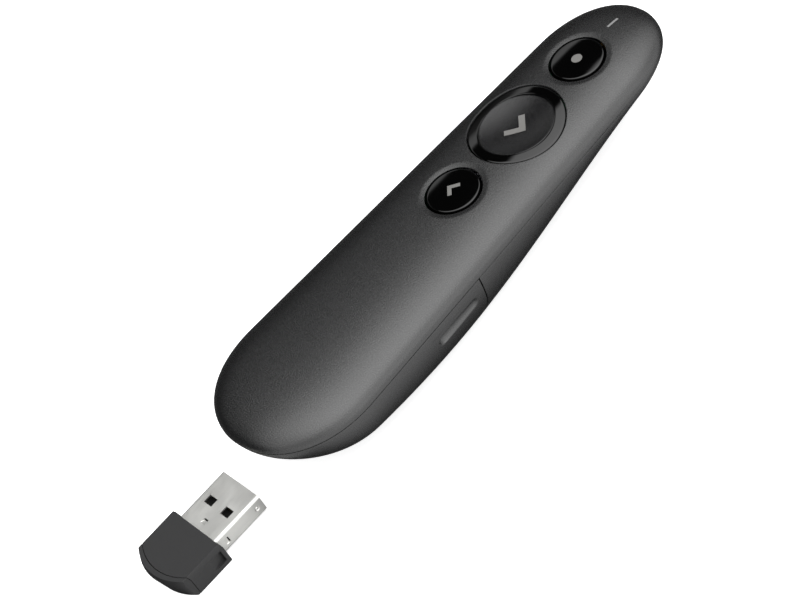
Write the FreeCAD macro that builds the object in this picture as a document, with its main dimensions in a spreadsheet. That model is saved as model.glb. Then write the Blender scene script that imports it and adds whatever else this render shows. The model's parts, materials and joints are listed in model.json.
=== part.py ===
"""Wireless presentation clicker with its receiver, as separate pieces in millimetres.

The hand unit is drawn in its deck frame: x to the right, s along the parting plane from the tail to
the nose, and up square to that plane, which lies at up = 0. The deck frame is tilted nose down on the
rest land under the belly, whose centre is the origin. The receiver is drawn in its own frame, with the
plug's mouth at its origin and the floor at 0, and lies behind the tail.
"""

import FreeCAD, Part
import Sketcher

import math
import os
import re

from FreeCAD import Placement, Rotation, Vector

DOC = FreeCAD.newDocument("clicker")

# Driving dimensions, in millimetres, degrees, counts and shares
SIZES = {
    # Casing form
    "half_width_middle": 16.6, "half_width_taper": 3.0,
    "tail_round": 21.8, "tail_round_power": 2.1, "nose_round": 18.0, "nose_round_power": 2.15,
    "crown_height": 5.4, "crown_end_power": 0.75, "crown_fullness_share": 0.655,
    "belly_depth": 16.5, "belly_peak_share": 0.348, "belly_span_share": 0.76,
    "belly_tail_power": 1.5, "belly_nose_power": 1.1, "belly_fullness_share": 0.69,
    "wall": 1.6, "core_tail_end": 2.6, "upper_core_nose_gap": 2.6, "lower_core_nose_gap": 15.0,
    # Stance on the rest land
    "deck_tilt": 2.3, "parting_lift": 18.05, "land_place": 48.45,
    # Battery cover
    "split_setback": 1.9, "cover_gap": 0.3, "cover_rim_gap": 0.1,
    "grip_setback": 10.3, "grip_length": 9.6, "grip_radius": 1.4, "grip_depth": 0.8, "grip_drop": 4.1,
    "tail_rib_gap": 10.2, "front_rib_setback": 11.3, "cover_rib_width": 1.2, "cover_rib_half": 10.0,
    "cover_rib_top_drop": 6.6, "cradle_ease": 0.15,
    "tail_hook_gap": 14.2, "front_hook_setback": 17.3, "hook_length": 5.0, "hook_thickness": 1.1,
    "hook_rise": 1.2, "hook_root_drop": 2.5, "hook_gap": 1.1, "hook_root_ease": 0.4,
    # Buttons
    "back_gap": 10.7, "button_pitch": 19.8, "button_sink": 0.12, "button_gap": 0.2,
    "small_button_radius": 6.15, "small_recess_radius": 7.15, "small_recess_depth": 0.35,
    "next_ring_radius": 10.65, "next_dish_radius": 8.35, "dish_fit": 0.05, "dish_edge_height": 4.9,
    "dish_hollow": 0.75, "dish_floor": 3.6, "button_bottom": 2.8, "press_travel": 0.35,
    "small_tab_reach": 1.15, "small_tab_half": 2.5, "small_tab_low": 2.6, "tab_thickness": 0.6,
    "next_tab_reach": 1.35, "next_tab_half": 3.0, "tab_root": 0.8,
    "stem_radius": 2.0,
    # Switches
    "switch_size": 6.0, "switch_height": 2.0, "plunger_radius": 1.6, "plunger_gap": 0.1,
    "plunger_top": 2.1, "plunger_bottom": 0.3, "plunger_floor_gap": 0.05, "stem_gap": 0.05,
    # Main board
    "board_top": -0.6, "board_thickness": 0.8, "board_tail_gap": 1.5, "board_nose_gap": 15.5,
    "board_half": 10.5, "board_nose_half": 8.5, "board_step_gap": 23.0, "board_corner": 1.2,
    "board_boss_tail_gap": 8.2, "board_boss_tail_side": 10.2, "board_boss_nose_gap": 7.1,
    "board_boss_nose_side": 9.5, "boss_radius": 1.7, "board_screw_radius": 0.8,
    "board_screw_head_radius": 1.5, "board_screw_head": 0.9, "board_screw_length": 3.4,
    "screw_gap": 0.03, "screw_hole_ease": 0.15, "pilot_spare": 0.4,
    "shield_length": 9.0, "shield_half": 6.0, "shield_height": 1.5, "shield_gap": 9.5, "shield_wall": 0.3,
    # Nose
    "laser_rise": 1.15, "laser_radius": 1.5, "laser_gap": 0.45, "laser_length": 5.0,
    "laser_flange_radius": 1.75, "laser_flange": 0.8, "laser_pinhole_radius": 0.6, "laser_pinhole_depth": 1.0,
    "holder_half": 3.6, "holder_lip": 0.2, "holder_high": 2.95,
    "holder_fit": 0.05, "ear_inner": 1.4, "ear_reach": 1.6, "ear_high": 1.65,
    "lens_radius": 0.9, "lens_gap": 5.2, "lens_length": 1.3, "lens_inset": 1.1, "lens_fit": 0.03,
    "led_length": 0.9, "led_width": 1.6, "led_height": 0.6, "led_gap": 0.7, "led_side": 2.6,
    "slit_setback": 0.25, "slit_length": 3.1, "slit_width": 0.62, "slit_fit": 0.04,
    "pipe_bar_low": 3.0, "pipe_foot_height": 0.5, "pipe_foot_length": 1.0,
    "nose_hook_inner": 2.4, "nose_hook_width": 2.0, "nose_hook_gap": 3.0,
    "nose_hook_thickness": 1.0, "nose_hook_rise": 1.4, "nose_hook_root": 0.6,
    # Battery tray, cells and contacts
    "cell_radius": 5.25, "cell_length": 44.5, "cell_tail_gap": 2.5, "cell_nose_gap": 0.1,
    "cell_side": 5.35, "cell_drop": 3.6,
    "cell_edge": 0.5, "nub_radius": 2.75, "nub_height": 1.0,
    "tray_tail": 9.8, "tray_wall": 0.8, "tray_outer": 11.55, "tray_shoulder": 0.6,
    "tray_roof_half": 8.6, "tray_roof_top": 2.75, "tray_roof_thickness": 0.8, "tray_skirt_drop": 4.5,
    "tray_end_wall": 1.2, "tray_tail_half": 9.4, "tray_tail_drop": 5.0, "tray_tail_rise": 1.9,
    "tray_front_drop": 9.0, "ear_thickness": 1.0, "side_ear_half": 2.0, "rear_contact_drop": 4.8,
    "contact_thickness": 0.4, "contact_half": 3.6, "contact_gap": 0.02,
    "spring_radius": 2.2, "spring_wire": 0.4, "spring_turns": 2.5, "solder_tab_width": 2.2,
    "solder_tab_thickness": 0.3, "solder_tab_landing": 2.0, "slot_ease": 0.3, "contact_boss_radius": 1.6,
    # Case screws
    "side_screw_setback": 6.3, "side_screw_inset": 3.25, "tail_screw_gap": 4.0, "case_boss_radius": 1.7,
    "side_boss_low": -1.2, "tail_boss_low": -0.6, "case_screw_radius": 1.0, "case_screw_head_radius": 1.6,
    "case_screw_head": 1.1, "case_screw_bite": 1.8, "driver_slot_width": 0.4, "driver_slot_depth": 0.5,
    "driver_slot_share": 0.65,
    "rail_thickness": 1.2, "rail_inner": 11.75, "rail_inset": 1.6, "rail_tail_margin": 2.1,
    "tail_ear_half": 2.6, "tail_ear_margin": 2.2,
    # Receiver
    "receiver_side": -4.6, "receiver_tail_gap": 3.3, "receiver_yaw": -2.8,
    "plug_width": 12.0, "plug_height": 4.5, "plug_steel": 0.3, "plug_corner": 0.6, "plug_reach": 12.4,
    "plug_length": 18.4, "plug_lift": 0.75,
    "window_near": 5.4, "window_far": 7.35, "window_inner": 1.5, "window_outer": 3.95,
    "tongue_block_width": 11.1, "tongue_block_height": 1.9, "tongue_block_setback": 0.9,
    "tongue_block_tail_gap": 0.5, "tongue_block_fit": 0.1,
    "pad_width": 1.0, "pad_thickness": 0.15, "pad_setback": 1.4, "pad_inner_setback": 2.3,
    "pad_length": 3.0, "pad_inner_side": 1.0, "pad_outer_side": 3.5,
    "cap_half": 8.0, "cap_height": 6.0, "cap_tail_gap": 4.7, "cap_bow_depth": 2.7, "cap_bevel": 0.4,
    "cap_bevel_drop": 1.2, "cap_bottom_bevel": 0.25, "cap_undercut": 1.0, "cap_wall": 0.9,
    "end_cap_thickness": 1.65,
    "end_cap_gap": 0.08, "cap_hollow_half": 6.3, "cap_front_wall": 1.2, "plug_fit": 0.03,
    "catch_near": 0.9, "catch_length": 3.4, "catch_depth": 0.9, "catch_low": 1.3, "catch_high": 4.6,
    "receiver_board_half": 6.1, "receiver_board_thickness": 0.8, "receiver_board_low": 2.2,
    "receiver_board_length": 3.2, "receiver_board_gap": 0.1, "post_half": 0.8, "post_side": 5.2,
    # Shared
    "overrun": 2.0, "form_stations": 15, "form_end": 0.03,
}

SHEET = DOC.addObject("Spreadsheet::Sheet", "sizes")
for row, (alias, value) in enumerate(SIZES.items(), 1):
    SHEET.set(f"A{row}", alias)
    SHEET.set(f"B{row}", str(value))
    SHEET.setAlias(f"B{row}", alias)
DOC.recompute()


def size(alias):
    """A driving dimension as the sheet holds it."""
    return float(SHEET.get(alias))


def bound(words):
    """The expression with each alias written as a cell of the sheet."""
    return re.sub(r"[a-z][a-z_]+", lambda found: "sizes." + found.group(0), words)


def worth(words):
    """The value of an expression of aliases, for shapes that Part's functions make."""
    return float(SHEET.evalExpression(bound(words)))


# Places along the hand unit, each worked out from the piece that comes before it, tail first
TAIL_SCREW = "(tray_tail - tail_screw_gap)"
CELL_TAIL = "(tray_tail + cell_tail_gap)"
TRAY_NOSE = f"({CELL_TAIL} + cell_length + cell_nose_gap + contact_thickness)"
SPLIT = f"({TRAY_NOSE} - split_setback)"
GRIP = f"({TRAY_NOSE} - grip_setback)"
RIBS = {"tail": "(tray_tail + tail_rib_gap)", "front": f"({TRAY_NOSE} - front_rib_setback)"}
HOOKS = {"tail": "(tray_tail + tail_hook_gap)", "front": f"({TRAY_NOSE} - front_hook_setback)"}
SIDE_SCREW = f"({TRAY_NOSE} - side_screw_setback)"
RAIL_TAIL = f"({SIDE_SCREW} - rail_tail_margin)"
BOARD_TAIL = f"({TRAY_NOSE} + tray_end_wall + board_tail_gap)"
BACK = f"({TRAY_NOSE} + back_gap)"
BUTTONS = {"back": BACK, "next": f"({BACK} + button_pitch)", "pointer": f"({BACK} + 2 * button_pitch)"}
SHIELD = f"({BACK} + shield_gap)"
BOSSES = {"tail": f"({BACK} + board_boss_tail_gap)", "nose": f"({BUTTONS['pointer']} - board_boss_nose_gap)"}
LASER_TAIL = f"({BUTTONS['pointer']} + small_button_radius + laser_gap)"
HOLDER_NOSE = f"({LASER_TAIL} + laser_length + holder_lip)"
EAR_NOSE = f"({HOLDER_NOSE} + ear_reach)"
LED = f"({HOLDER_NOSE} + led_gap)"
SLIT = f"({HOLDER_NOSE} - slit_setback)"
NOSE_HOOK = f"({HOLDER_NOSE} + nose_hook_gap)"
LENS_TAIL = f"({HOLDER_NOSE} + lens_gap)"
BODY_LENGTH = f"({LENS_TAIL} + lens_length + lens_inset)"
BOARD_NOSE = f"({BODY_LENGTH} - board_nose_gap)"
BOARD_STEP = f"({BODY_LENGTH} - board_step_gap)"

# Places along the receiver, from the plug's mouth
TONGUE_LENGTH = "(plug_length - tongue_block_setback - tongue_block_tail_gap)"
CAP_CORNER = "(plug_length + cap_tail_gap)"
CAP_REACH = f"({CAP_CORNER} + cap_bow_depth)"
BACK_RADIUS = "((cap_half * cap_half + cap_bow_depth * cap_bow_depth) / (2 * cap_bow_depth))"

# Building blocks
TURNS = {"up": Rotation(), "s": Rotation(Vector(1, 0, 0), -90), "x": Rotation(Vector(0, 1, 0), 90)}


def place_at(item, low, turn="up"):
    item.Placement = Placement(Vector(), TURNS[turn])
    for axis, words in zip("xyz", low):
        item.setExpression(f"Placement.Base.{axis}", bound(words))
    return item


def box(name, x, s, up):
    """A box between pairs of expressions along x, s and up."""
    item = DOC.addObject("Part::Box", name)
    for side, (low, high) in zip(("Length", "Width", "Height"), (x, s, up)):
        item.setExpression(side, bound(f"({high}) - ({low})"))
    return place_at(item, (x[0], s[0], up[0]))


def rod(name, radius, low, length, turn="up"):
    """A cylinder from the point low, along up, s or x."""
    item = DOC.addObject("Part::Cylinder", name)
    item.setExpression("Radius", bound(radius))
    item.setExpression("Height", bound(length))
    return place_at(item, low, turn)


def cone(name, low_radius, high_radius, low, length, turn="up"):
    item = DOC.addObject("Part::Cone", name)
    item.setExpression("Radius1", bound(low_radius))
    item.setExpression("Radius2", bound(high_radius))
    item.setExpression("Height", bound(length))
    return place_at(item, low, turn)


def ball(name, radius, centre):
    item = DOC.addObject("Part::Sphere", name)
    item.setExpression("Radius", bound(radius))
    return place_at(item, centre)


def fuse(name, *parts):
    item = DOC.addObject("Part::MultiFuse", name)
    item.Shapes = list(parts)
    item.Refine = False
    return item


def group(name, *parts):
    """Separate solids in one piece."""
    item = DOC.addObject("Part::Compound", name)
    item.Links = list(parts)
    return item


def cut(name, base, *tools):
    item = DOC.addObject("Part::Cut", name)
    item.Base = base
    item.Tool = tools[0] if len(tools) == 1 else fuse(name + "_tools", *tools)
    return item


def common(name, base, tool):
    item = DOC.addObject("Part::Common", name)
    item.Base, item.Tool = base, tool
    return item


def feature(name, shape):
    item = DOC.addObject("Part::Feature", name)
    item.Shape = shape
    return item


SUBPARTS = []


def subpart(item, label, frame):
    """Names a finished piece and sets it in its frame, also where its blank had a bound place."""
    item.Label = label
    for axis in "xyz":
        item.setExpression(f"Placement.Base.{axis}", None)
    item.Placement = frame
    SUBPARTS.append(item)
    return item


DECK = Placement(Vector(0, -size("land_place"), size("parting_lift")),
                 Rotation(Vector(1, 0, 0), -size("deck_tilt")))
RECEIVER = Placement(Vector(size("receiver_side"), -size("land_place") - size("receiver_tail_gap"), 0),
                     Rotation(Vector(0, 0, 1), size("receiver_yaw")))


# Casing form: half width, crown and belly at a station s
LENGTH = worth(BODY_LENGTH)


def rounded(reach, power):
    """Rises from 0 to 1 as reach goes from 0 to 1, like the end of a superellipse."""
    return (1 - max(0.0, 1 - reach) ** power) ** (1 / power)


def casing_at(s):
    share = s / LENGTH
    tail = rounded(s / size("tail_round"), size("tail_round_power"))
    nose = rounded((LENGTH - s) / size("nose_round"), size("nose_round_power"))
    half = (size("half_width_middle") - size("half_width_taper") * (2 * share - 1)) * tail * nose
    crown = size("crown_height") * (tail * nose) ** size("crown_end_power")
    wave = math.pi * (share - size("belly_peak_share")) / (2 * size("belly_span_share"))
    belly = size("belly_depth") * math.cos(wave) ** 2
    belly *= tail ** size("belly_tail_power") * nose ** size("belly_nose_power")
    return half, crown, belly


def curve_through(poles):
    curve = Part.BezierCurve()
    curve.setPoles(poles)
    return curve.toShape()


def section(s, half, rise, full, skirt):
    """A closed half section: two fat quarter curves over a flat side at up = 0, or over a skirt beyond it."""
    right = [(half, 0), (half, rise * full), (half * full, rise), (0, rise)]
    left = [(-x, up) for x, up in reversed(right)]
    base = [left[-1], (-half, skirt), (half, skirt), right[0]] if skirt else [left[-1], right[0]]
    curves = [curve_through([Vector(x, s, up) for x, up in side]) for side in (right, left)]
    lines = [Part.makeLine(Vector(a[0], s, a[1]), Vector(b[0], s, b[1])) for a, b in zip(base, base[1:])]
    return Part.Wire(curves + lines)


def stations(low, high, count):
    """Stations spaced like a cosine, closer at the ends."""
    steps = range(count)
    return [low + (high - low) * (1 - math.cos(math.pi * i / (count - 1))) / 2 for i in steps]


def half_loft(upper, low, high, inset, skirt):
    """A solid through half sections above or below the parting plane, an inset inside the outer form.

    The lower half is drawn as the upper one is, turned half round about s.
    """
    full = size("crown_fullness_share" if upper else "belly_fullness_share")
    sign = 1 if upper else -1
    profiles = []
    for s in stations(low, high, int(size("form_stations"))):
        half, crown, belly = casing_at(s)
        depth = (crown if upper else belly) - inset
        profiles.append(section(s, sign * (half - inset), sign * depth, full, -sign * skirt))
    return Part.makeLoft(profiles, True, False, False, 5)


def half_form(upper):
    """The outer form, whose ends are all but pointed."""
    return half_loft(upper, size("form_end"), LENGTH - size("form_end"), 0, 0)


def half_core(upper):
    """The hollow in that form, a wall smaller, with flat ends and a skirt past the parting plane."""
    nose_gap = size("upper_core_nose_gap" if upper else "lower_core_nose_gap")
    nose = LENGTH - nose_gap
    return half_loft(upper, size("core_tail_end"), nose, size("wall"), size("overrun"))


UPPER_FORM = feature("upper_form", half_form(True))
UPPER_CORE = feature("upper_core", half_core(True))
LOWER_BLANK = feature("lower_blank", half_form(False))
LOWER_CORE = feature("lower_core", half_core(False))
FLOOR_BLOCK = feature("floor_block", Part.makeBox(2 * LENGTH, 2 * LENGTH,
                      size("belly_depth"), Vector(-LENGTH, -LENGTH, -size("belly_depth"))))
FLOOR_BLOCK.Placement = DECK.inverse()
LOWER_FORM = cut("lower_form", LOWER_BLANK, FLOOR_BLOCK)


# Sketched bodies
def body(name):
    return DOC.addObject("PartDesign::Body", name)


def sketch(item, name, role, offset="0"):
    """A sketch on one of the body's own origin planes, moved along the plane's normal."""
    drawing = item.newObject("Sketcher::SketchObject", name)
    plane = next(part for part in item.Origin.OriginFeatures if part.Role == role)
    drawing.AttachmentSupport = [(plane, "")]
    drawing.MapMode = "FlatFace"
    drawing.setExpression("AttachmentOffset.Base.z", bound(offset))
    return drawing


def outline(drawing, points):
    """A closed run of lines, each corner held to the origin by two named sizes."""
    corners = [Vector(worth(x), worth(y), 0) for x, y in points]
    count = len(corners)
    for i, corner in enumerate(corners):
        drawing.addGeometry(Part.LineSegment(corner, corners[(i + 1) % count]))
    for i, (x, y) in enumerate(points):
        drawing.addConstraint(Sketcher.Constraint("Coincident", i, 2, (i + 1) % count, 1))
        for kind, words in (("DistanceX", x), ("DistanceY", y)):
            index = drawing.addConstraint(Sketcher.Constraint(kind, -1, 1, i, 1, worth(words)))
            drawing.setExpression(f"Constraints[{index}]", bound(words))
    return drawing


def ring(drawing, x, y, radius):
    """A circle held by its centre and radius."""
    where = drawing.addGeometry(Part.Circle(Vector(worth(x), worth(y), 0), Vector(0, 0, 1), worth(radius)))
    for kind, words, args in (("DistanceX", x, (-1, 1, where, 3)), ("DistanceY", y, (-1, 1, where, 3)),
                              ("Radius", radius, (where,))):
        index = drawing.addConstraint(Sketcher.Constraint(kind, *args, worth(words)))
        drawing.setExpression(f"Constraints[{index}]", bound(words))
    return drawing


def pad(item, drawing, length, backwards=False):
    step = item.newObject("PartDesign::Pad", drawing.Name + "_pad")
    step.Profile = drawing
    step.setExpression("Length", bound(length))
    step.Reversed = backwards
    return step


def pocket(item, drawing, length, backwards=False):
    step = item.newObject("PartDesign::Pocket", drawing.Name + "_pocket")
    step.Profile = drawing
    step.setExpression("Length", bound(length))
    step.Reversed = backwards
    return step


def revolved(name, role, points):
    """A body turned from points of (radius, place), about s on XY_Plane or about up on XZ_Plane."""
    item = body(name)
    drawing = outline(sketch(item, name + "_profile", role), points)
    step = item.newObject("PartDesign::Revolution", name + "_turned")
    step.Profile = drawing
    step.ReferenceAxis = (drawing, ["V_Axis"])
    step.Angle = 360
    return item


def at(x, s, up, frame=DECK, turn=Rotation()):
    """The frame moved to a point given in expressions."""
    return frame.multiply(Placement(Vector(worth(x), worth(s), worth(up)), turn))


SIGNS = {"right": "", "left": "-"}
SMALL_BUTTONS = ("back", "pointer")


def span(centre, half):
    """The two ends of a stretch about a centre."""
    return (f"({centre}) - ({half})", f"({centre}) + ({half})")


def mirrored(sign, low, high):
    """A stretch of x on the right, or its mirror image on the left."""
    return (low, high) if sign == "" else (f"-({high})", f"-({low})")


# Screw places: x, s, underside of the head, top of the shank
SCREW_SIDE = "(half_width_middle - side_screw_inset)"
RAIL_OUTER = "(half_width_middle - rail_inset)"
BOARD_LOW = "(board_top - board_thickness)"
RAIL_TOP = "(side_boss_low - ear_thickness)"
RAIL_LOW = "(side_boss_low - ear_thickness - rail_thickness)"
BOARD_SCREWS = [(f"{sign}board_boss_{end}_side", BOSSES[end], BOARD_LOW, f"{BOARD_LOW} + board_screw_length")
                for sign in SIGNS.values() for end in ("tail", "nose")]
CASE_SCREWS = [(f"{sign}{SCREW_SIDE}", SIDE_SCREW, RAIL_LOW, "side_boss_low + case_screw_bite")
               for sign in SIGNS.values()]
CASE_SCREWS.append(("0", TAIL_SCREW, "tail_boss_low - ear_thickness",
                    "tail_boss_low + case_screw_bite"))


def side_at(s, drop):
    """Half the casing's width at a drop below the parting plane."""
    half, crown, belly = casing_at(s)
    full = size("belly_fullness_share")
    low, high = 0.0, 1.0
    while high - low > 1e-9:
        t = (low + high) / 2
        deep = belly * (3 * full * (1 - t) ** 2 * t + 3 * (1 - t) * t ** 2 + t ** 3)
        low, high = (t, high) if deep < drop else (low, t)
    return half * ((1 - low) ** 3 + 3 * (1 - low) ** 2 * low + 3 * full * (1 - low) * low ** 2)


# Top cover
def cover_bosses(extra):
    """Screw bosses from the crown down to what they carry, or their roots below the parting plane."""
    bosses = []
    for i, (x, s, seat, top) in enumerate(BOARD_SCREWS + CASE_SCREWS):
        radius = "boss_radius" if i < len(BOARD_SCREWS) else "case_boss_radius"
        low = "board_top" if i < len(BOARD_SCREWS) else f"{seat} + ear_thickness"
        low = f"{RAIL_TOP} + ear_thickness" if seat == RAIL_LOW else low
        length = f"-({low})" if extra == "root" else f"crown_height + overrun - ({low})"
        bosses.append(rod(f"cover_boss_{extra}_{i}", radius, (x, s, low), length))
    return bosses


def button_holes():
    tools = []
    for name, s in BUTTONS.items():
        radius = "small_button_radius" if name in SMALL_BUTTONS else "next_ring_radius"
        tools.append(rod(f"{name}_hole", f"{radius} + button_gap", ("0", s, "-overrun"),
                         "crown_height + 2 * overrun"))
    for name in SMALL_BUTTONS:
        low = "crown_height - small_recess_depth"
        tools.append(cone(f"{name}_recess", "small_button_radius + button_gap",
                          "2 * small_recess_radius - small_button_radius - button_gap",
                          ("0", BUTTONS[name], low), "2 * small_recess_depth"))
    return tools


def pilot_holes():
    tools = []
    for i, (x, s, seat, top) in enumerate(BOARD_SCREWS + CASE_SCREWS):
        radius = "board_screw_radius" if i < len(BOARD_SCREWS) else "case_screw_radius"
        tools.append(rod(f"pilot_{i}", f"{radius} + screw_gap", (x, s, f"{seat} - overrun"),
                         f"{top} - ({seat}) + pilot_spare + overrun"))
    return tools


def top_cover():
    hollow = cut("upper_hollow", UPPER_CORE, *cover_bosses("post"))
    shell = cut("upper_shell", UPPER_FORM, hollow)
    slit = box("light_slit", span("0", "slit_width / 2"), span(SLIT, "slit_length / 2 + slit_fit"),
               ("0", "crown_height + overrun"))
    lens_hole = rod("lens_hole", "lens_radius + lens_fit", ("0", f"{LENS_TAIL} - overrun", "laser_rise"),
                    "2 * overrun + lens_length", "s")
    solid = fuse("bossed_shell", shell, *cover_bosses("root"))
    tools = [slit, lens_hole] + button_holes() + pilot_holes()
    subpart(cut("top_cover_shape", solid, *tools), "top_cover", DECK)


# Lower housing and battery cover, one shell in two pieces
def rails():
    """Rails under the tray's side ears, with roots in the housing's side walls."""
    parts, holes = [], []
    for side, sign in SIGNS.items():
        reach = mirrored(sign, "rail_inner", RAIL_OUTER)
        parts.append(box(f"{side}_rail", reach, (RAIL_TAIL, BOARD_TAIL), (RAIL_LOW, RAIL_TOP)))
        root = box(f"{side}_rail_block", mirrored(sign, "rail_inner", "half_width_middle + half_width_taper"),
                   (f"{SPLIT} + cover_gap / 2", BOARD_TAIL), (RAIL_LOW, RAIL_TOP))
        parts.append(common(f"{side}_rail_root", root, LOWER_FORM))
        holes.append(rod(f"{side}_rail_hole", "case_screw_radius + screw_hole_ease",
                         (f"{sign}{SCREW_SIDE}", SIDE_SCREW, f"{RAIL_LOW} - overrun"),
                         "2 * overrun + rail_thickness"))
    return parts, holes


def lower_housing():
    wide = ("-half_width_middle - half_width_taper", "half_width_middle + half_width_taper")
    reach = box("housing_reach", wide, (f"{SPLIT} + cover_gap / 2", f"{BODY_LENGTH} + overrun"),
                ("-belly_depth - overrun", "overrun"))
    parts, holes = rails()
    for side, sign in SIGNS.items():
        across = mirrored(sign, "nose_hook_inner", "nose_hook_inner + nose_hook_width")
        parts.append(box(f"{side}_nose_hook", across,
                         (NOSE_HOOK, f"{NOSE_HOOK} + nose_hook_thickness"),
                         ("-nose_hook_root", "nose_hook_rise")))
    holes.append(rod("laser_cradle", "laser_flange_radius + holder_fit",
                     ("0", f"{LASER_TAIL} - holder_fit", "laser_rise"), "laser_length + 2 * holder_fit", "s"))
    solid = fuse("railed_housing", common("housing_shell", LOWER_SHELL, reach), *parts)
    subpart(cut("lower_housing_shape", solid, *holes), "lower_housing", DECK)


def battery_cover():
    wide = ("-half_width_middle - half_width_taper", "half_width_middle + half_width_taper")
    reach = box("cover_reach", wide, ("-overrun", f"{SPLIT} - cover_gap / 2"),
                ("-belly_depth - overrun", "-cover_rim_gap"))
    parts = [common("cover_shell", LOWER_SHELL, reach)]
    for name, place in RIBS.items():
        blank = box(f"{name}_rib_blank", span("0", "cover_rib_half"), span(place, "cover_rib_width / 2"),
                    ("-belly_depth", "-cover_rib_top_drop"))
        cradles = [rod(f"{name}_{side}_cradle", "cell_radius + cradle_ease",
                       (f"{sign}cell_side", f"{place} - overrun", "-cell_drop"), "2 * overrun", "s")
                   for side, sign in SIGNS.items()]
        parts.append(cut(f"{name}_rib", common(f"{name}_rib_trimmed", blank, LOWER_FORM), *cradles))
    for name, place in HOOKS.items():
        wall = f"{casing_at(worth(place))[0]} - wall"
        for side, sign in SIGNS.items():
            stretch = span(place, "hook_length / 2")
            inner, outer = f"{wall} - hook_gap - hook_thickness", f"{wall} - hook_gap"
            parts.append(box(f"{name}_{side}_hook", mirrored(sign, inner, outer), stretch,
                             ("-hook_root_drop", "hook_rise")))
            root = mirrored(sign, inner, f"{wall} + hook_root_ease")
            parts.append(box(f"{name}_{side}_hook_root", root, stretch,
                             ("-hook_root_drop", "-hook_root_ease")))
    grips = []
    for side, sign in SIGNS.items():
        x = f"{sign}({side_at(worth(GRIP), size('grip_drop'))} - grip_depth + grip_radius)"
        ends = span(GRIP, "grip_length / 2")
        grips.append(rod(f"{side}_grip", "grip_radius", (x, ends[0], "-grip_drop"), "grip_length", "s"))
        grips += [ball(f"{side}_grip_end_{i}", "grip_radius", (x, end, "-grip_drop"))
                  for i, end in enumerate(ends)]
    subpart(cut("battery_cover_shape", fuse("ribbed_cover", *parts), *grips), "battery_cover", DECK)


# Battery tray with its cells and contacts
def battery_tray():
    item = body("tray_channel")
    inner, top = "tray_outer - tray_wall", "tray_roof_top - tray_roof_thickness"
    right = [("tray_outer", "-tray_skirt_drop"), ("tray_outer", "tray_shoulder"),
             ("tray_roof_half", "tray_roof_top")]
    hollow = [("tray_roof_half - tray_roof_thickness / 2", top), (inner, "tray_shoulder - tray_roof_thickness"),
              (inner, "-tray_skirt_drop")]
    left = [(f"-({x})", up) for x, up in reversed(right)]
    back = [(f"-({x})", up) for x, up in reversed(hollow)]
    drawing = outline(sketch(item, "tray_section", "XZ_Plane", "-tray_tail"), right + left + back + hollow)
    pad(item, drawing, f"{TRAY_NOSE} - tray_tail", True)
    parts = [item,
             box("tray_rear_wall", span("0", "tray_tail_half"), ("tray_tail - tray_end_wall", "tray_tail"),
                 ("-tray_tail_drop", "tray_tail_rise")),
             box("tray_front_wall", span("0", "tray_outer"), (TRAY_NOSE, f"{TRAY_NOSE} + tray_end_wall"),
                 ("-tray_front_drop", "tray_roof_top")),
             box("tray_tail_ear", span("0", "tail_ear_half"), (f"{TAIL_SCREW} - tail_ear_margin", "tray_tail"),
                 ("tail_boss_low - ear_thickness", "tail_boss_low"))]
    holes = [rod("tail_ear_hole", "case_screw_radius + screw_hole_ease",
                 ("0", TAIL_SCREW, "tail_boss_low - overrun"), "2 * overrun")]
    for side, sign in SIGNS.items():
        parts.append(box(f"{side}_ear", mirrored(sign, inner, RAIL_OUTER),
                         span(SIDE_SCREW, "side_ear_half"), (RAIL_TOP, "side_boss_low")))
        holes.append(rod(f"{side}_ear_hole", "case_screw_radius + screw_hole_ease",
                         (f"{sign}{SCREW_SIDE}", SIDE_SCREW, "side_boss_low - overrun"), "2 * overrun"))
        holes.append(box(f"{side}_tab_slot", span(f"{sign}cell_side", "solder_tab_width / 2 + slot_ease"),
                         (f"{TRAY_NOSE} - overrun", f"{TRAY_NOSE} + overrun"),
                         ("board_top - slot_ease", "board_top + solder_tab_thickness + slot_ease")))
    subpart(cut("battery_tray_shape", fuse("tray_blank", *parts), *holes), "battery_tray", DECK)


def cells():
    end = "cell_length - nub_height"
    profile = [("0", "0"), ("cell_radius - cell_edge", "0"), ("cell_radius", "cell_edge"),
               ("cell_radius", f"{end} - cell_edge"), ("cell_radius - cell_edge", end), ("nub_radius", end),
               ("nub_radius", "cell_length"), ("0", "cell_length")]
    turned = Rotation(Vector(0, 0, 1), 180)
    subpart(revolved("left_cell", "XY_Plane", profile), "battery_left", at("-cell_side", CELL_TAIL, "-cell_drop"))
    subpart(revolved("right_cell", "XY_Plane", profile), "battery_right",
            at("cell_side", f"{CELL_TAIL} + cell_length", "-cell_drop", DECK, turned))


def coil_shape(radius, wire, rise, turns):
    """A round wire along half turns, each a flat arc tipped to climb its share of the rise."""
    halves = round(2 * turns)
    step = rise / halves
    ends = [Vector(radius * (-1) ** i, 0, step * i) for i in range(halves + 1)]
    tops = [Vector(0, radius * (-1) ** i, step * (i + 0.5)) for i in range(halves)]
    line = Part.Wire([Part.Arc(a, top, b).toShape() for a, top, b in zip(ends, tops, ends[1:])])
    round_section = Part.Wire([Part.makeCircle(wire / 2, ends[0], Vector(0, 1, 0))])
    return line.makePipeShell([round_section], True, False)


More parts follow.
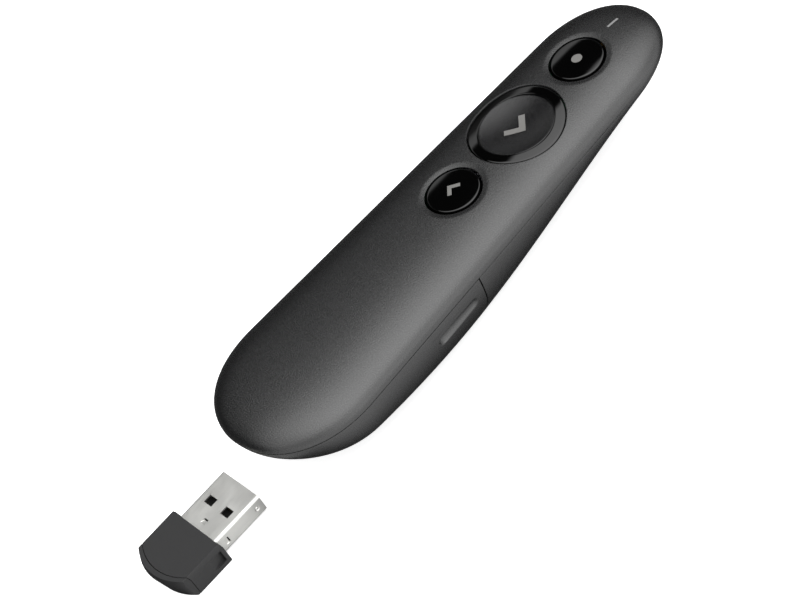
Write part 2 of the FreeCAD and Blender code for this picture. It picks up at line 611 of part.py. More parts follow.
def contacts():
    plate = (f"{TRAY_NOSE} - contact_thickness", TRAY_NOSE)
    for name, sign in (("plus", "-"), ("minus", "")):
        pieces = [box(f"{name}_plate", span(f"{sign}cell_side", "contact_half"), plate,
                      ("-cell_drop - contact_half", "-cell_drop + contact_half")),
                  box(f"{name}_tab", span(f"{sign}cell_side", "solder_tab_width / 2"),
                      (plate[0], f"{BOARD_TAIL} + solder_tab_landing"),
                      ("board_top", "board_top + solder_tab_thickness"))]
        subpart(fuse(f"front_{name}_shape", *pieces), f"front_{name}_contact", DECK)
    front = "tray_tail + contact_thickness"
    bridge = [box("bridge_plate", span("0", "cell_side + contact_half"), ("tray_tail", front),
                  ("-rear_contact_drop", "-cell_drop + contact_half")),
              rod("bridge_boss", "contact_boss_radius", ("cell_side", "tray_tail", "-cell_drop"),
                  f"{CELL_TAIL} - contact_gap - tray_tail", "s")]
    subpart(fuse("bridge_shape", *bridge), "rear_contact_bridge", DECK)
    travel = f"{CELL_TAIL} - tray_tail - contact_thickness - spring_wire - 2 * contact_gap"
    coil = feature("spring_coil", coil_shape(size("spring_radius"), size("spring_wire"), worth(travel),
                                             size("spring_turns")))
    subpart(coil, "battery_spring", at("-cell_side", f"{front} + contact_gap + spring_wire / 2", "-cell_drop", DECK,
                                        TURNS["s"]))


# Board, switches and shield
def boards():
    item = body("board_body")
    right = [("board_half - board_corner", BOARD_TAIL), ("board_half", f"{BOARD_TAIL} + board_corner"),
             ("board_half", BOARD_STEP), ("board_nose_half", f"{BOARD_STEP} + board_half - board_nose_half"),
             ("board_nose_half", f"{BOARD_NOSE} - board_corner"), ("board_nose_half - board_corner", BOARD_NOSE)]
    left = [(f"-({x})", s) for x, s in reversed(right)]
    pad(item, outline(sketch(item, "board_outline", "XY_Plane", BOARD_LOW), right + left), "board_thickness")
    drawing = sketch(item, "board_holes", "XY_Plane", "board_top")
    for x, s, seat, top in BOARD_SCREWS:
        ring(drawing, x, s, "board_screw_radius + screw_hole_ease")
    pocket(item, drawing, "board_thickness + overrun")
    subpart(item, "main_board", DECK)
    for name, s in BUTTONS.items():
        block = box(f"{name}_switch_block", span("0", "switch_size / 2"), span(s, "switch_size / 2"),
                    ("board_top", "board_top + switch_height"))
        bore = rod(f"{name}_switch_bore", "plunger_radius + plunger_gap",
                   ("0", s, "plunger_bottom - press_travel - plunger_floor_gap"), "switch_height + overrun")
        subpart(cut(f"{name}_switch_shape", block, bore), f"{name}_switch", DECK)
        subpart(rod(f"{name}_plunger_rod", "plunger_radius", ("0", "0", "0"), "plunger_top - plunger_bottom"),
                f"{name}_plunger", at("0", s, "plunger_bottom"))
    can = [box("shield_can", span("0", "shield_half"), span(SHIELD, "shield_length / 2"),
               ("board_top", "board_top + shield_height")),
           box("shield_hollow", span("0", "shield_half - shield_wall"),
               span(SHIELD, "shield_length / 2 - shield_wall"),
               ("board_top - overrun", "board_top + shield_height - shield_wall"))]
    subpart(cut("shield_shape", *can), "radio_shield", DECK)


# Buttons
def buttons():
    for name, s in BUTTONS.items():
        small = name in SMALL_BUTTONS
        radius, low = ("small_button_radius", "small_tab_low") if small else ("next_ring_radius", "button_bottom")
        head = common(f"{name}_head", rod(f"{name}_blank", radius, ("0", s, "button_bottom"),
                                          "crown_height + overrun - button_bottom"), BUTTON_FORM)
        tab_low = "plunger_top + stem_gap"
        parts = [head, rod(f"{name}_stem", "stem_radius", ("0", s, tab_low),
                           f"button_bottom + tab_thickness - ({tab_low})")]
        for side, sign in SIGNS.items():
            kind, half = ("small", "small_tab_half") if small else ("next", "next_tab_half")
            reach = (f"{radius} - tab_root", f"{radius} + {kind}_tab_reach")
            across, along = (mirrored(sign, *reach), span(s, half)) if small else (span("0", half), None)
            if along is None:
                along = tuple(f"{s} + {end}" for end in mirrored(sign, *(f"({part})" for part in reach)))
            parts.append(box(f"{name}_{side}_tab", across, along, (low, f"{low} + tab_thickness")))
        whole = fuse(f"{name}_button_blank", *parts)
        if small:
            subpart(whole, f"{name}_button", DECK)
        else:
            well = rod("dish_well", "next_dish_radius + dish_fit", ("0", s, "dish_floor"), "crown_height + overrun")
            subpart(cut("next_ring_shape", whole, well), "next_button_ring", DECK)
    s = BUTTONS["next"]
    reach = "(next_dish_radius * next_dish_radius + dish_hollow * dish_hollow) / (2 * dish_hollow)"
    plate = rod("dish_plate", "next_dish_radius", ("0", s, "dish_floor"), "dish_edge_height - dish_floor")
    bowl = ball("dish_bowl", reach, ("0", s, f"dish_edge_height - dish_hollow + {reach}"))
    subpart(cut("next_dish_shape", plate, bowl), "next_button_dish", DECK)


# Nose: laser, its holder, the status light and the lens
def nose():
    end = f"{LASER_TAIL} + laser_length"
    module = revolved("laser_turned", "XY_Plane",
                      [("0", "0"), ("laser_flange_radius", "0"), ("laser_flange_radius", "laser_flange"),
                       ("laser_radius", "laser_flange"), ("laser_radius", "laser_length"),
                       ("laser_pinhole_radius", "laser_length"),
                       ("laser_pinhole_radius", "laser_length - laser_pinhole_depth"),
                       ("0", "laser_length - laser_pinhole_depth")])
    subpart(module, "laser_module", at("0", LASER_TAIL, "laser_rise"))
    block = [box("holder_block", span("0", "holder_half"), (f"{LASER_TAIL} + laser_flange", HOLDER_NOSE),
                 ("0", "holder_high")),
             box("holder_ear", ("ear_inner", "holder_half"), (f"{LASER_TAIL} + laser_flange", EAR_NOSE),
                 ("0", "ear_high"))]
    bore = rod("holder_bore", "laser_radius + holder_fit", ("0", LASER_TAIL, "laser_rise"),
               f"{end} - {LASER_TAIL} + overrun", "s")
    subpart(cut("holder_shape", fuse("holder_blank", *block), bore), "laser_holder", DECK)
    subpart(box("led_block", ("0", "led_width"), ("0", "led_length"), ("0", "led_height")), "status_led",
            at("led_side - led_width / 2", f"{LED} - led_length / 2", "ear_high"))
    low = "ear_high + led_height"
    foot = span(LED, "pipe_foot_length / 2")
    thin = span("0", "slit_width / 2 - slit_fit")
    pieces = [box("pipe_foot", (thin[0], "led_side + led_width / 2"), foot, (low, f"{low} + pipe_foot_height")),
              box("pipe_riser", thin, foot, (low, "crown_height + overrun")),
              box("pipe_bar", thin, span(SLIT, "slit_length / 2"), ("pipe_bar_low", "crown_height + overrun"))]
    subpart(common("light_pipe_shape", fuse("light_pipe_blank", *pieces), UPPER_FORM), "status_light_pipe", DECK)
    subpart(rod("lens_disc", "lens_radius", ("0", "0", "0"), "lens_length"), "laser_window",
            at("0", LENS_TAIL, "laser_rise", DECK, TURNS["s"]))


# Screws
def screw(name, label, kind, head, place):
    """A turned screw whose head hangs below its seat, with a driver slot."""
    x, s, seat, top = place
    profile = [("0", f"-{head}"), (f"{kind}_head_radius", f"-{head}"), (f"{kind}_head_radius", "0"),
               (f"{kind}_radius", "0"), (f"{kind}_radius", f"{top} - ({seat})"), ("0", f"{top} - ({seat})")]
    slots = [box(f"{name}_slot_{turn}", span("0", long), span("0", wide),
                 (f"-{head} - overrun", f"-{head} + driver_slot_depth"))
             for turn, long, wide in (("across", f"{kind}_head_radius * driver_slot_share", "driver_slot_width / 2"),
                                      ("along", "driver_slot_width / 2", f"{kind}_head_radius * driver_slot_share"))]
    subpart(cut(f"{name}_shape", revolved(name, "XZ_Plane", profile), *slots), label, at(x, s, seat))


def screws():
    for side, place in zip(("right", "left", "tail"), CASE_SCREWS):
        screw(f"{side}_case_fixing", f"case_screw_{side}", "case_screw", "case_screw_head", place)
    names = [f"{end}_{side}" for side in SIGNS for end in ("tail", "nose")]
    for name, place in zip(names, BOARD_SCREWS):
        screw(f"{name}_board_fixing", f"board_screw_{name}", "board_screw", "board_screw_head", place)


# Receiver, in its own frame: x, y forward to the plug's mouth, up from the floor
def rounded_box(name, x, y, up, radius):
    """A box whose four long edges, along y, are rounded."""
    block = box(name + "_block", x, y, up)
    DOC.recompute()
    item = DOC.addObject("Part::Fillet", name)
    item.Base = block
    along = [i for i, edge in enumerate(block.Shape.Edges, 1) if abs(edge.tangentAt(edge.FirstParameter).y) > 0.5]
    item.Edges = [(i, worth(radius), worth(radius)) for i in along]
    return item


def plug():
    top = "plug_lift + plug_height"
    outer = rounded_box("plug_outer", span("0", "plug_width / 2"), ("-plug_length", "0"), ("plug_lift", top), "plug_corner")
    inner = rounded_box("plug_inner", span("0", "plug_width / 2 - plug_steel"), ("-plug_length - overrun", "overrun"),
                        ("plug_lift + plug_steel", f"{top} - plug_steel"), "plug_corner - plug_steel")
    slots = [box(f"plug_slot_{side}", mirrored(sign, "window_inner", "window_outer"), ("-window_far", "-window_near"),
                 ("plug_lift - overrun", f"{top} + overrun")) for side, sign in SIGNS.items()]
    subpart(cut("plug_shape", outer, inner, *slots), "usb_shell", RECEIVER)
    low = "plug_lift + plug_steel + tongue_block_fit"
    subpart(box("tongue_block", ("0", "tongue_block_width"), ("0", TONGUE_LENGTH), ("0", "tongue_block_height")),
            "usb_tongue", at("-tongue_block_width / 2", f"-tongue_block_setback - {TONGUE_LENGTH}", low, RECEIVER))
    strips = []
    for side, sign in SIGNS.items():
        for name in ("inner", "outer"):
            near = "pad_inner_setback" if name == "inner" else "pad_setback"
            strips.append(box(f"strip_{name}_{side}", span(f"{sign}pad_{name}_side", "pad_width / 2"),
                              (f"-{near} - pad_length", f"-{near}"),
                              (f"{low} + tongue_block_height", f"{low} + tongue_block_height + pad_thickness")))
    subpart(group("strips", *strips), "usb_contacts", RECEIVER)


def cap_outline(inset, up, undercut=0):
    """The cap from above: a straight front and sides and a bowed back, drawn forward by an undercut."""
    half, front = size("cap_half") - inset, -size("plug_reach") - inset
    radius = worth(BACK_RADIUS)
    centre = radius - worth(CAP_REACH) + undercut
    radius -= inset
    corner = centre - math.sqrt(radius ** 2 - half ** 2)
    a, b, c, d = (Vector(x, y, up) for x, y in ((-half, front), (half, front), (half, corner), (-half, corner)))
    bow = Part.Arc(c, Vector(0, centre - radius, up), d).toShape()
    return Part.Wire([Part.makeLine(a, b), Part.makeLine(b, c), bow, Part.makeLine(d, a)])


def cap_solid():
    """The whole cap, with bevelled top and bottom edges and a back that slopes forward to the floor."""
    top, drop, low, undercut = (size(f"cap_{name}") for name in ("height", "bevel_drop", "bottom_bevel", "undercut"))
    layers = [cap_outline(low, 0, undercut), cap_outline(0, low, undercut), cap_outline(0, top - drop),
              cap_outline(size("cap_bevel"), top)]
    return Part.makeLoft(layers, True, True)


def receiver_housing():
    whole = feature("cap_whole", cap_solid())
    centre = f"({BACK_RADIUS} - {CAP_REACH})"
    top = "plug_lift + plug_height"
    bay = box("cap_hollow", span("0", "cap_hollow_half"), (f"-{CAP_REACH}", "-plug_reach - cap_front_wall"),
              ("cap_wall", "cap_height - cap_wall"))
    seat = rounded_box("plug_seat", span("0", "plug_width / 2 + plug_fit"), ("-plug_length - plug_fit", "overrun"),
                       ("plug_lift - plug_fit", f"{top} + plug_fit"), "plug_corner")
    front = rod("cap_front_reach", BACK_RADIUS, ("0", f"{centre} + end_cap_thickness", "-overrun"),
                "cap_height + 2 * overrun")
    back = rod("cap_back_reach", BACK_RADIUS, ("0", f"{centre} + end_cap_thickness - end_cap_gap", "-overrun"),
               "cap_height + 2 * overrun")
    catches = []
    for side, sign in SIGNS.items():
        item = body(f"{side}_catch")
        near, far = "-plug_reach - catch_near", "-plug_reach - catch_near - catch_length"
        points = [(f"{sign}(cap_half - catch_depth)", near), (f"{sign}cap_half", far),
                  (f"{sign}(cap_half + overrun)", far), (f"{sign}(cap_half + overrun)", near)]
        pad(item, outline(sketch(item, f"{side}_catch_plan", "XY_Plane", "catch_low"), points), "catch_high - catch_low")
        catches.append(item)
    tail = "-plug_length - receiver_board_gap"
    posts = [box(f"post_{side}", span(f"{sign}post_side", "post_half"), (f"{tail} - receiver_board_length", tail),
                 ("cap_wall / 2", "receiver_board_low")) for side, sign in SIGNS.items()]
    hollowed = cut("cap_hollowed", common("cap_front", whole, front), bay, seat, *catches)
    subpart(fuse("receiver_cap_shape", hollowed, *posts), "receiver_cap", RECEIVER)
    subpart(cut("receiver_end_shape", whole, back), "receiver_end_cap", RECEIVER)
    subpart(box("board_slab", ("0", "2 * receiver_board_half"), ("0", "receiver_board_length"),
                ("0", "receiver_board_thickness")),
            "receiver_board", at("-receiver_board_half", f"{tail} - receiver_board_length", "receiver_board_low", RECEIVER))


LOWER_SHELL = cut("lower_shell", LOWER_FORM, LOWER_CORE)
BUTTON_FORM = feature("button_form", UPPER_FORM.Shape.translated(Vector(0, 0, -size("button_sink"))))

top_cover()
lower_housing()
battery_cover()
battery_tray()
cells()
contacts()
boards()
buttons()
nose()
screws()
plug()
receiver_housing()

DOC.recompute()
faults = [f"{item.Name}: {', '.join(item.State)}" for item in DOC.Objects if {"Invalid", "Error"} & set(item.State)]
for item in SUBPARTS:
    if item.Shape.isNull() or not item.Shape.isValid() or not item.Shape.Solids:
        faults.append(f"{item.Label}: no valid solid")
if faults:
    raise SystemExit("not written: " + "; ".join(faults))

os.makedirs("parts", exist_ok=True)
for item in SUBPARTS:
    item.Shape.exportStep(os.path.join("parts", item.Label + ".step"))
    print(f"{item.Label}: {len(item.Shape.Solids)} solid, {item.Shape.Volume:.1f} mm3")
print(len(SUBPARTS), "pieces")
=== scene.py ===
"""Presentation clicker with its receiver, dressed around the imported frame.

Laid out as an add-on and run as a script: property groups hold the sizes and colours, one operator makes each piece
or group of like pieces, and one makes the stage. Shapes are worked out in millimetres, either in the deck frame
(x to the right, s along the parting plane from tail to nose, up square to it) or in the receiver's own frame (x,
y towards the plug's mouth, up from the floor), and set into the frame's metres when the mesh is made.
"""

import json
import math

import bmesh
import bpy
import numpy as np
from bpy.props import FloatProperty, FloatVectorProperty, PointerProperty
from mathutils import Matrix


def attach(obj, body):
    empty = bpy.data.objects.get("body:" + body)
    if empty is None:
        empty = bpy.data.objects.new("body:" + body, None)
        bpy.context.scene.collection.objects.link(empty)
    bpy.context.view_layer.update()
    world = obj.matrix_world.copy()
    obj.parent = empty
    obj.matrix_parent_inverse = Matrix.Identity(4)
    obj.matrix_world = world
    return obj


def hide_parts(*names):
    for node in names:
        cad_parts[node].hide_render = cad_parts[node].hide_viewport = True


bl_info = {
    "name": "Presentation clicker",
    "version": (1, 0, 0),
    "blender": (4, 5, 0),
    "location": "View3D > Sidebar > Clicker",
    "description": "Makes the visible pieces of a presentation clicker and its receiver",
    "category": "Object",
}

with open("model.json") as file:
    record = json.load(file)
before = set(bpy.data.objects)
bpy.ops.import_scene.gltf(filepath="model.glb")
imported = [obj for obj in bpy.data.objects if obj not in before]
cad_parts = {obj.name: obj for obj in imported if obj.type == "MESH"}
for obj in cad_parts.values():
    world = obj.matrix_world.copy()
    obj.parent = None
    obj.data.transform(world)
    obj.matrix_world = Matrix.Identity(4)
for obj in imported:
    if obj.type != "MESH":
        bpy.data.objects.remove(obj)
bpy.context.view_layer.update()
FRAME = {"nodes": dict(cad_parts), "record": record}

MERGE = 2e-6


# Properties
def length(name, description, millimetres):
    """A length kept in metres, with its default given in millimetres."""
    return FloatProperty(name=name, description=description, default=millimetres / 1000, unit="LENGTH", precision=5)


def share(name, description, value):
    return FloatProperty(name=name, description=description, default=value, subtype="FACTOR")


def power(name, description, value):
    return FloatProperty(name=name, description=description, default=value)


def colour(name, description, value):
    return FloatVectorProperty(name=name, description=description, default=value, size=3, subtype="COLOR")


class ClickerCasing(bpy.types.PropertyGroup):
    """The hand unit's form and its place on the floor."""

    length: length("Length", "From the tail to the nose along the parting plane", 127.0)
    half_width: length("Half width", "Half the width at the middle", 16.6)
    taper: length("Taper", "How much the half width shrinks from the middle to the nose", 3.0)
    tail_round: length("Tail rounding", "How far the tail's rounding reaches", 21.8)
    tail_power: power("Tail power", "Fullness of the tail's outline", 2.1)
    nose_round: length("Nose rounding", "How far the nose's rounding reaches", 18.0)
    nose_power: power("Nose power", "Fullness of the nose's outline", 2.15)
    crown: length("Crown", "Height of the top above the parting plane", 5.4)
    crown_power: power("Crown power", "How fast the crown falls at the ends", 0.75)
    crown_full: share("Crown fullness", "How square the top's section is", 0.655)
    belly: length("Belly", "Depth of the grip below the parting plane", 16.5)
    belly_peak: share("Belly place", "Place of the deepest section, as a share of the length", 0.348)
    belly_span: share("Belly span", "Half the belly's wave, as a share of the length", 0.76)
    belly_tail_power: power("Belly tail power", "How fast the belly rises to the tail", 1.5)
    belly_nose_power: power("Belly nose power", "How fast the belly rises to the nose", 1.1)
    belly_full: share("Belly fullness", "How square the belly's section is", 0.69)
    wall: length("Wall", "Thickness of the casing", 1.6)
    tilt: FloatProperty(name="Tilt", description="How far the deck dips to the nose on its rest land",
                        default=math.radians(2.3), subtype="ANGLE")
    lift: length("Parting lift", "Height of the parting plane over the rest land", 18.05)
    land: length("Rest land", "Place of the rest land's centre from the tail", 48.45)
    seam_depth: length("Seam depth", "How far the edges at the parting line are drawn in", 0.08)
    seam_reach: length("Seam reach", "Height of the drawn-in edge", 0.15)
    split: length("Split", "Place of the battery cover's front edge", 55.4)
    split_gap: length("Split gap", "Gap between battery cover and housing", 0.3)
    rim_gap: length("Rim gap", "Gap between battery cover and top", 0.07)
    grip: length("Finger recess", "Place of the finger recess's centre from the tail", 47.0)
    grip_length: length("Recess length", "Straight length of the finger recess", 9.6)
    grip_radius: length("Recess radius", "Radius of the finger recess's round bottom", 1.4)
    grip_depth: length("Recess depth", "Depth of the finger recess", 0.8)
    grip_drop: length("Recess drop", "Depth of its middle below the parting plane", 4.1)
    grip_soft: length("Recess softness", "Softness of the finger recess's edge", 0.14)


class ClickerButtons(bpy.types.PropertyGroup):
    """The three buttons, their marks and what is round them."""

    back: length("Back button", "Place from the tail", 68.0)
    pitch: length("Pitch", "Distance from one button to the next", 19.8)
    small_radius: length("Small radius", "Radius of the back and pointer buttons", 6.15)
    ring_radius: length("Ring radius", "Radius of the next button's ring", 10.65)
    dish_radius: length("Dish radius", "Radius of the next button's dish", 8.35)
    patch_half: length("Patch half", "Half the length of the deck's patch round a small button", 8.3)
    gap: length("Gap", "Gap round each button", 0.2)
    sink: length("Sink", "How far the buttons lie below the crown", 0.12)
    small_roll: length("Small edge", "Rounding of a small button's edge", 0.2)
    small_skirt: length("Small skirt", "Width of a small button's steep skirt below its edge", 0.4)
    small_fall: length("Small fall", "Height of that skirt", 1.1)
    ring_roll: length("Ring edge", "Rounding of the ring's outer edge", 0.3)
    ring_lip: length("Ring lip", "Rounding of the ring's inner edge", 0.16)
    recess_depth: length("Recess depth", "Depth of the sloped recess at a small button's hole", 0.33)
    recess_width: length("Recess width", "Width of that recess", 1.15)
    recess_soft: share("Recess softness", "Softness of the recess's outer edge, as a share of its width", 0.16)
    hole_edge: length("Hole edge", "Rounding of the next button's hole", 0.12)
    dish_edge: length("Dish edge", "Height of the dish's edge above the parting plane", 4.9)
    dish_hollow: length("Dish hollow", "How far the dish sinks at its centre", 0.85)
    dish_roll: length("Dish rounding", "Rounding of the dish's edge", 0.12)
    dish_floor: length("Dish floor", "Height of the dish's underside", 3.6)
    bottom: length("Bottom", "Height of the buttons' underside", 2.8)
    stem_bottom: length("Stem bottom", "Height of the stems' lower ends", 2.15)
    stem_radius: length("Stem radius", "Radius of the stems", 2.0)
    mark_lift: length("Mark lift", "How far the marks stand over their buttons", 0.02)
    mark_body: length("Mark thickness", "Thickness of the marks", 0.06)
    dot_radius: length("Dot radius", "Radius of the pointer button's dot", 1.2)
    next_right: length("Next tip right", "How far right of the middle the next mark's tip lies", 2.38)
    next_ahead: length("Next tip ahead", "How far ahead of the button's centre that tip lies", 0.13)
    next_arm: length("Next arm", "Length of the next mark's arms across the deck", 3.3)
    next_band: length("Next band", "Width of the next mark across the deck", 2.0)
    back_right: length("Back tip right", "How far right of the middle the back mark's tip lies", -1.94)
    back_ahead: length("Back tip ahead", "How far ahead of the button's centre that tip lies", 0.22)
    back_arm: length("Back arm", "Length of the back mark's arms across the deck", 1.98)
    back_band: length("Back band", "Width of the back mark across the deck", 1.3)


class ClickerReceiver(bpy.types.PropertyGroup):
    """The receiver that lies behind the tail."""

    side: length("Side", "Place of the plug's mouth across the floor", -4.6)
    mouth: length("Mouth", "Place of the plug's mouth along the floor", -51.75)
    yaw: FloatProperty(name="Yaw", description="How far the receiver is turned on the floor",
                       default=math.radians(-2.8), subtype="ANGLE")
    plug_half: length("Plug half width", "Half the width of the plug's shell", 6.0)
    plug_low: length("Plug bottom", "Height of the shell's underside", 0.75)
    plug_height: length("Plug height", "Height of the shell", 4.5)
    plug_length: length("Plug length", "Length of the shell, with what the cap hides", 18.4)
    plug_corner: length("Plug corner", "Corner radius of the shell", 0.6)
    plug_steel: length("Shell sheet", "Thickness of the shell's sheet", 0.3)
    window_near: length("Window front", "Front of the shell's windows from the mouth", 5.4)
    window_far: length("Window back", "Back of the shell's windows from the mouth", 7.35)
    window_inner: length("Window inside", "Inner side of a window from the middle", 1.5)
    window_outer: length("Window outside", "Outer side of a window from the middle", 3.95)
    latch: length("Latch", "Place of the bent latch tongues from the mouth", 10.6)
    tongue_half: length("Tongue half width", "Half the width of the top and bottom latch tongues", 0.62)
    tongue_side: length("Side tongue half", "Half the height of the side latch tongues", 0.75)
    tongue_bend: length("Tongue bend", "How far the latch tongues are bent in", 0.3)
    dimple: length("Dimple", "Place of the small rings on the shell's sides from the mouth", 1.7)
    cap_half: length("Cap half width", "Half the width of the cap", 8.0)
    cap_front: length("Cap front", "Front of the cap from the mouth", 12.4)
    cap_top: length("Cap height", "Height of the cap", 6.0)
    cap_bevel: length("Cap bevel", "Width of the bevel on the cap's upper edges", 0.4)
    cap_drop: length("Bevel drop", "Height of that bevel", 1.2)
    cap_foot: length("Lower bevel", "Bevel at the cap's lower edges", 0.25)
    cap_reach: length("Cap reach", "Furthest point of the bowed back from the mouth", 25.8)
    cap_radius: length("Bow radius", "Radius of the bowed back", 13.2)
    cap_undercut: length("Undercut", "How far the bowed back comes forward at the floor", 1.0)
    end_thickness: length("End cap", "Thickness of the end cap", 1.65)
    end_gap: length("End gap", "Gap before the end cap", 0.13)
    catch_near: length("Catch front", "Front of the finger notches from the mouth", 13.3)
    catch_far: length("Catch back", "Back of the finger notches from the mouth", 16.7)
    catch_depth: length("Catch depth", "Depth of the finger notches", 0.9)
    catch_low: length("Catch bottom", "Underside of the finger notches", 1.3)
    catch_high: length("Catch top", "Top of the finger notches", 4.6)


class ClickerColours(bpy.types.PropertyGroup):
    """Main colour of each finish."""

    casing: colour("Casing", "Satin graphite plastic of the casing", (0.004, 0.0041, 0.0043))
    button: colour("Buttons", "Glossy black plastic of the buttons", (0.0006, 0.0006, 0.0006))
    dish: colour("Dish", "Speckled satin black of the dish", (0.005, 0.005, 0.0053))
    mark: colour("Marks", "Warm light grey of the buttons' marks", (0.13, 0.128, 0.122))
    receiver: colour("Receiver", "Moulded black plastic of the receiver", (0.011, 0.011, 0.0115))
    steel: colour("Shell steel", "Pale nickel plate of the plug", (0.66, 0.66, 0.635))
    plain_steel: colour("Steel", "Steel of contacts, spring and shield", (0.6, 0.6, 0.61))
    screw: colour("Screws", "Darker steel of the screws", (0.42, 0.42, 0.43))
    brass: colour("Brass", "Brass of the laser's barrel", (0.62, 0.42, 0.16))
    gold: colour("Gold", "Gilding of the plug's contacts", (0.8, 0.58, 0.22))
    frame: colour("Inner frame", "Matt black of tray, holder and switches", (0.022, 0.022, 0.023))
    tongue: colour("Tongue", "Black plastic inside the plug", (0.012, 0.012, 0.012))
    sleeve: colour("Cell sleeve", "Printed film round the cells", (0.34, 0.36, 0.4))
    board: colour("Board", "Green lacquer of the boards", (0.012, 0.09, 0.035))
    diode: colour("Diode", "Pale body of the status diode", (0.75, 0.74, 0.68))
    light: colour("Status light", "Clear plastic of the light bar", (0.2, 0.2, 0.2))
    window: colour("Laser window", "Dark red plastic of the laser's window", (0.09, 0.008, 0.008))
    floor: colour("Floor", "Plain pale floor", (0.8, 0.8, 0.8))


def casing():
    return bpy.context.scene.clicker_casing


def buttons():
    return bpy.context.scene.clicker_buttons


def receiver():
    return bpy.context.scene.clicker_receiver


def colours():
    return bpy.context.scene.clicker_colours


def mm(group, *names):
    """The named lengths of a group in millimetres; one alone comes as a number."""
    values = [getattr(group, name) * 1000 for name in names]
    return values[0] if len(values) == 1 else values


# Casing form
def rounded(reach, strength):
    """Rises from 0 to 1 as reach goes from 0 to 1: one less the gap's power, then the root of that power."""
    return (1 - np.clip(1 - reach, 0, None) ** strength) ** (1 / strength)


def casing_at(s):
    """Half width, crown and belly at stations s.

    The half width falls evenly from tail to nose and closes at both ends like a superellipse. The crown closes with a
    power of the same ends. The belly is a squared cosine about its deepest place, times powers of the ends.
    """
    c = casing()
    whole, half, taper, tail_round, nose_round = mm(c, "length", "half_width", "taper", "tail_round", "nose_round")
    along = s / whole
    tail = rounded(s / tail_round, c.tail_power)
    nose = rounded((whole - s) / nose_round, c.nose_power)
    wave = np.cos(math.pi * (along - c.belly_peak) / (2 * c.belly_span)) ** 2
    return ((half - taper * (2 * along - 1)) * tail * nose,
            mm(c, "crown") * (tail * nose) ** c.crown_power,
            mm(c, "belly") * wave * tail ** c.belly_tail_power * nose ** c.belly_nose_power)


def quarter(t, full):
    """Shares of half width and height on a cubic Bezier quarter from the side, t = 0, to the middle, t = 1."""
    low = 1 - t
    across = low ** 3 + 3 * low ** 2 * t + 3 * full * low * t ** 2
    rise = 3 * full * low ** 2 * t + 3 * low * t ** 2 + t ** 3
    return across, rise


QUARTER_STEPS = np.linspace(0, 1, 8001)


def height_over(x, s, upper=True):
    """Height of the crown, or depth of the belly, over points of the parting plane.

    It reads the quarter curve backwards.
    """
    half, crown, belly = casing_at(s)
    across, rise = quarter(QUARTER_STEPS, casing().crown_full if upper else casing().belly_full)
    part = np.clip(np.abs(x) / np.maximum(half, 1e-9), 0, 1)
    return (crown if upper else belly) * np.interp(part, across[::-1], rise[::-1])


def casing_grid(s, q, upper):
    """Points of the outer form on a grid of stations s and section places q, from -1 at the left side to 1.

    Across a section, x and height are the half width and the crown or belly times the quarter curve at 1 - |q|.
    """
    s, q = np.meshgrid(s, q, indexing="ij")
    half, crown, belly = casing_at(s)
    across, rise = quarter(1 - np.abs(q), casing().crown_full if upper else casing().belly_full)
    return np.stack([half * across * np.sign(q), s, crown * rise if upper else -belly * rise], axis=-1)


def tail_stations(count, high):
    """Stations from the tail to high: spaced like a cosine over the tail's rounding, then evenly."""
    reach = mm(casing(), "tail_round")
    turns = np.linspace(0, math.pi / 2, count)
    even = np.linspace(reach, high, max(2, int((high - reach) / 0.9)))[1:]
    return np.concatenate([reach * (1 - np.cos(turns)), even])


def nose_stations(count, low, high):
    """Stations from low to high, spaced like a cosine over the nose's rounding."""
    whole, reach = mm(casing(), "length", "nose_round")
    turns = [math.acos(max(0.0, 1 - (whole - place) / reach)) for place in (low, high)]
    return whole - reach * (1 - np.cos(np.linspace(*turns, count)))


def soft_positive(value, soft):
    """Half the sum of a value and the root of its square plus a softness squared: a ramp with a rounded foot."""
    return (value + np.sqrt(value ** 2 + soft ** 2)) / 2


# Frames
def from_deck(points):
    """Deck points into the frame: tipped about x, moved back by the rest land's place and lifted."""
    c = casing()
    x, s, up = points.T
    cos, sin = math.cos(c.tilt), math.sin(c.tilt)
    land, lift = mm(c, "land", "lift")
    return np.stack([x, s * cos + up * sin - land, up * cos - s * sin + lift], axis=-1)


def to_deck(points):
    c = casing()
    x, y, z = points.T
    cos, sin = math.cos(c.tilt), math.sin(c.tilt)
    land, lift = mm(c, "land", "lift")
    y, z = y + land, z - lift
    return np.stack([x, y * cos - z * sin, y * sin + z * cos], axis=-1)


def from_receiver(points):
    """Receiver points into the frame: turned about the upright and moved to the plug's mouth."""
    r = receiver()
    x, y, up = points.T
    cos, sin = math.cos(r.yaw), math.sin(r.yaw)
    side, mouth = mm(r, "side", "mouth")
    return np.stack([x * cos - y * sin + side, x * sin + y * cos + mouth, up], axis=-1)


# Meshes
def grid_faces(rows, columns, closed=False, left_out=None):
    """Four-cornered faces between the points of a grid, but for those that a mask leaves out."""
    row, column = np.meshgrid(np.arange(rows - 1), np.arange(columns if closed else columns - 1), indexing="ij")
    first, second = row * columns + column, row * columns + (column + 1) % columns
    faces = np.stack([first, second, second + columns, first + columns], axis=-1)
    return faces[~left_out] if left_out is not None else faces.reshape(-1, 4)


def grid_patch(points, closed=False, left_out=None):
    rows, columns = points.shape[:2]
    return points.reshape(-1, 3), grid_faces(rows, columns, closed, left_out).tolist()


def capped_patch(points):
    """A closed tube of rings, with one flat face over its first ring and one over its last."""
    rows, columns = points.shape[:2]
    faces = grid_faces(rows, columns, True).tolist()
    ends = [list(range(columns)), list(range((rows - 1) * columns, rows * columns))]
    return points.reshape(-1, 3), faces + ends


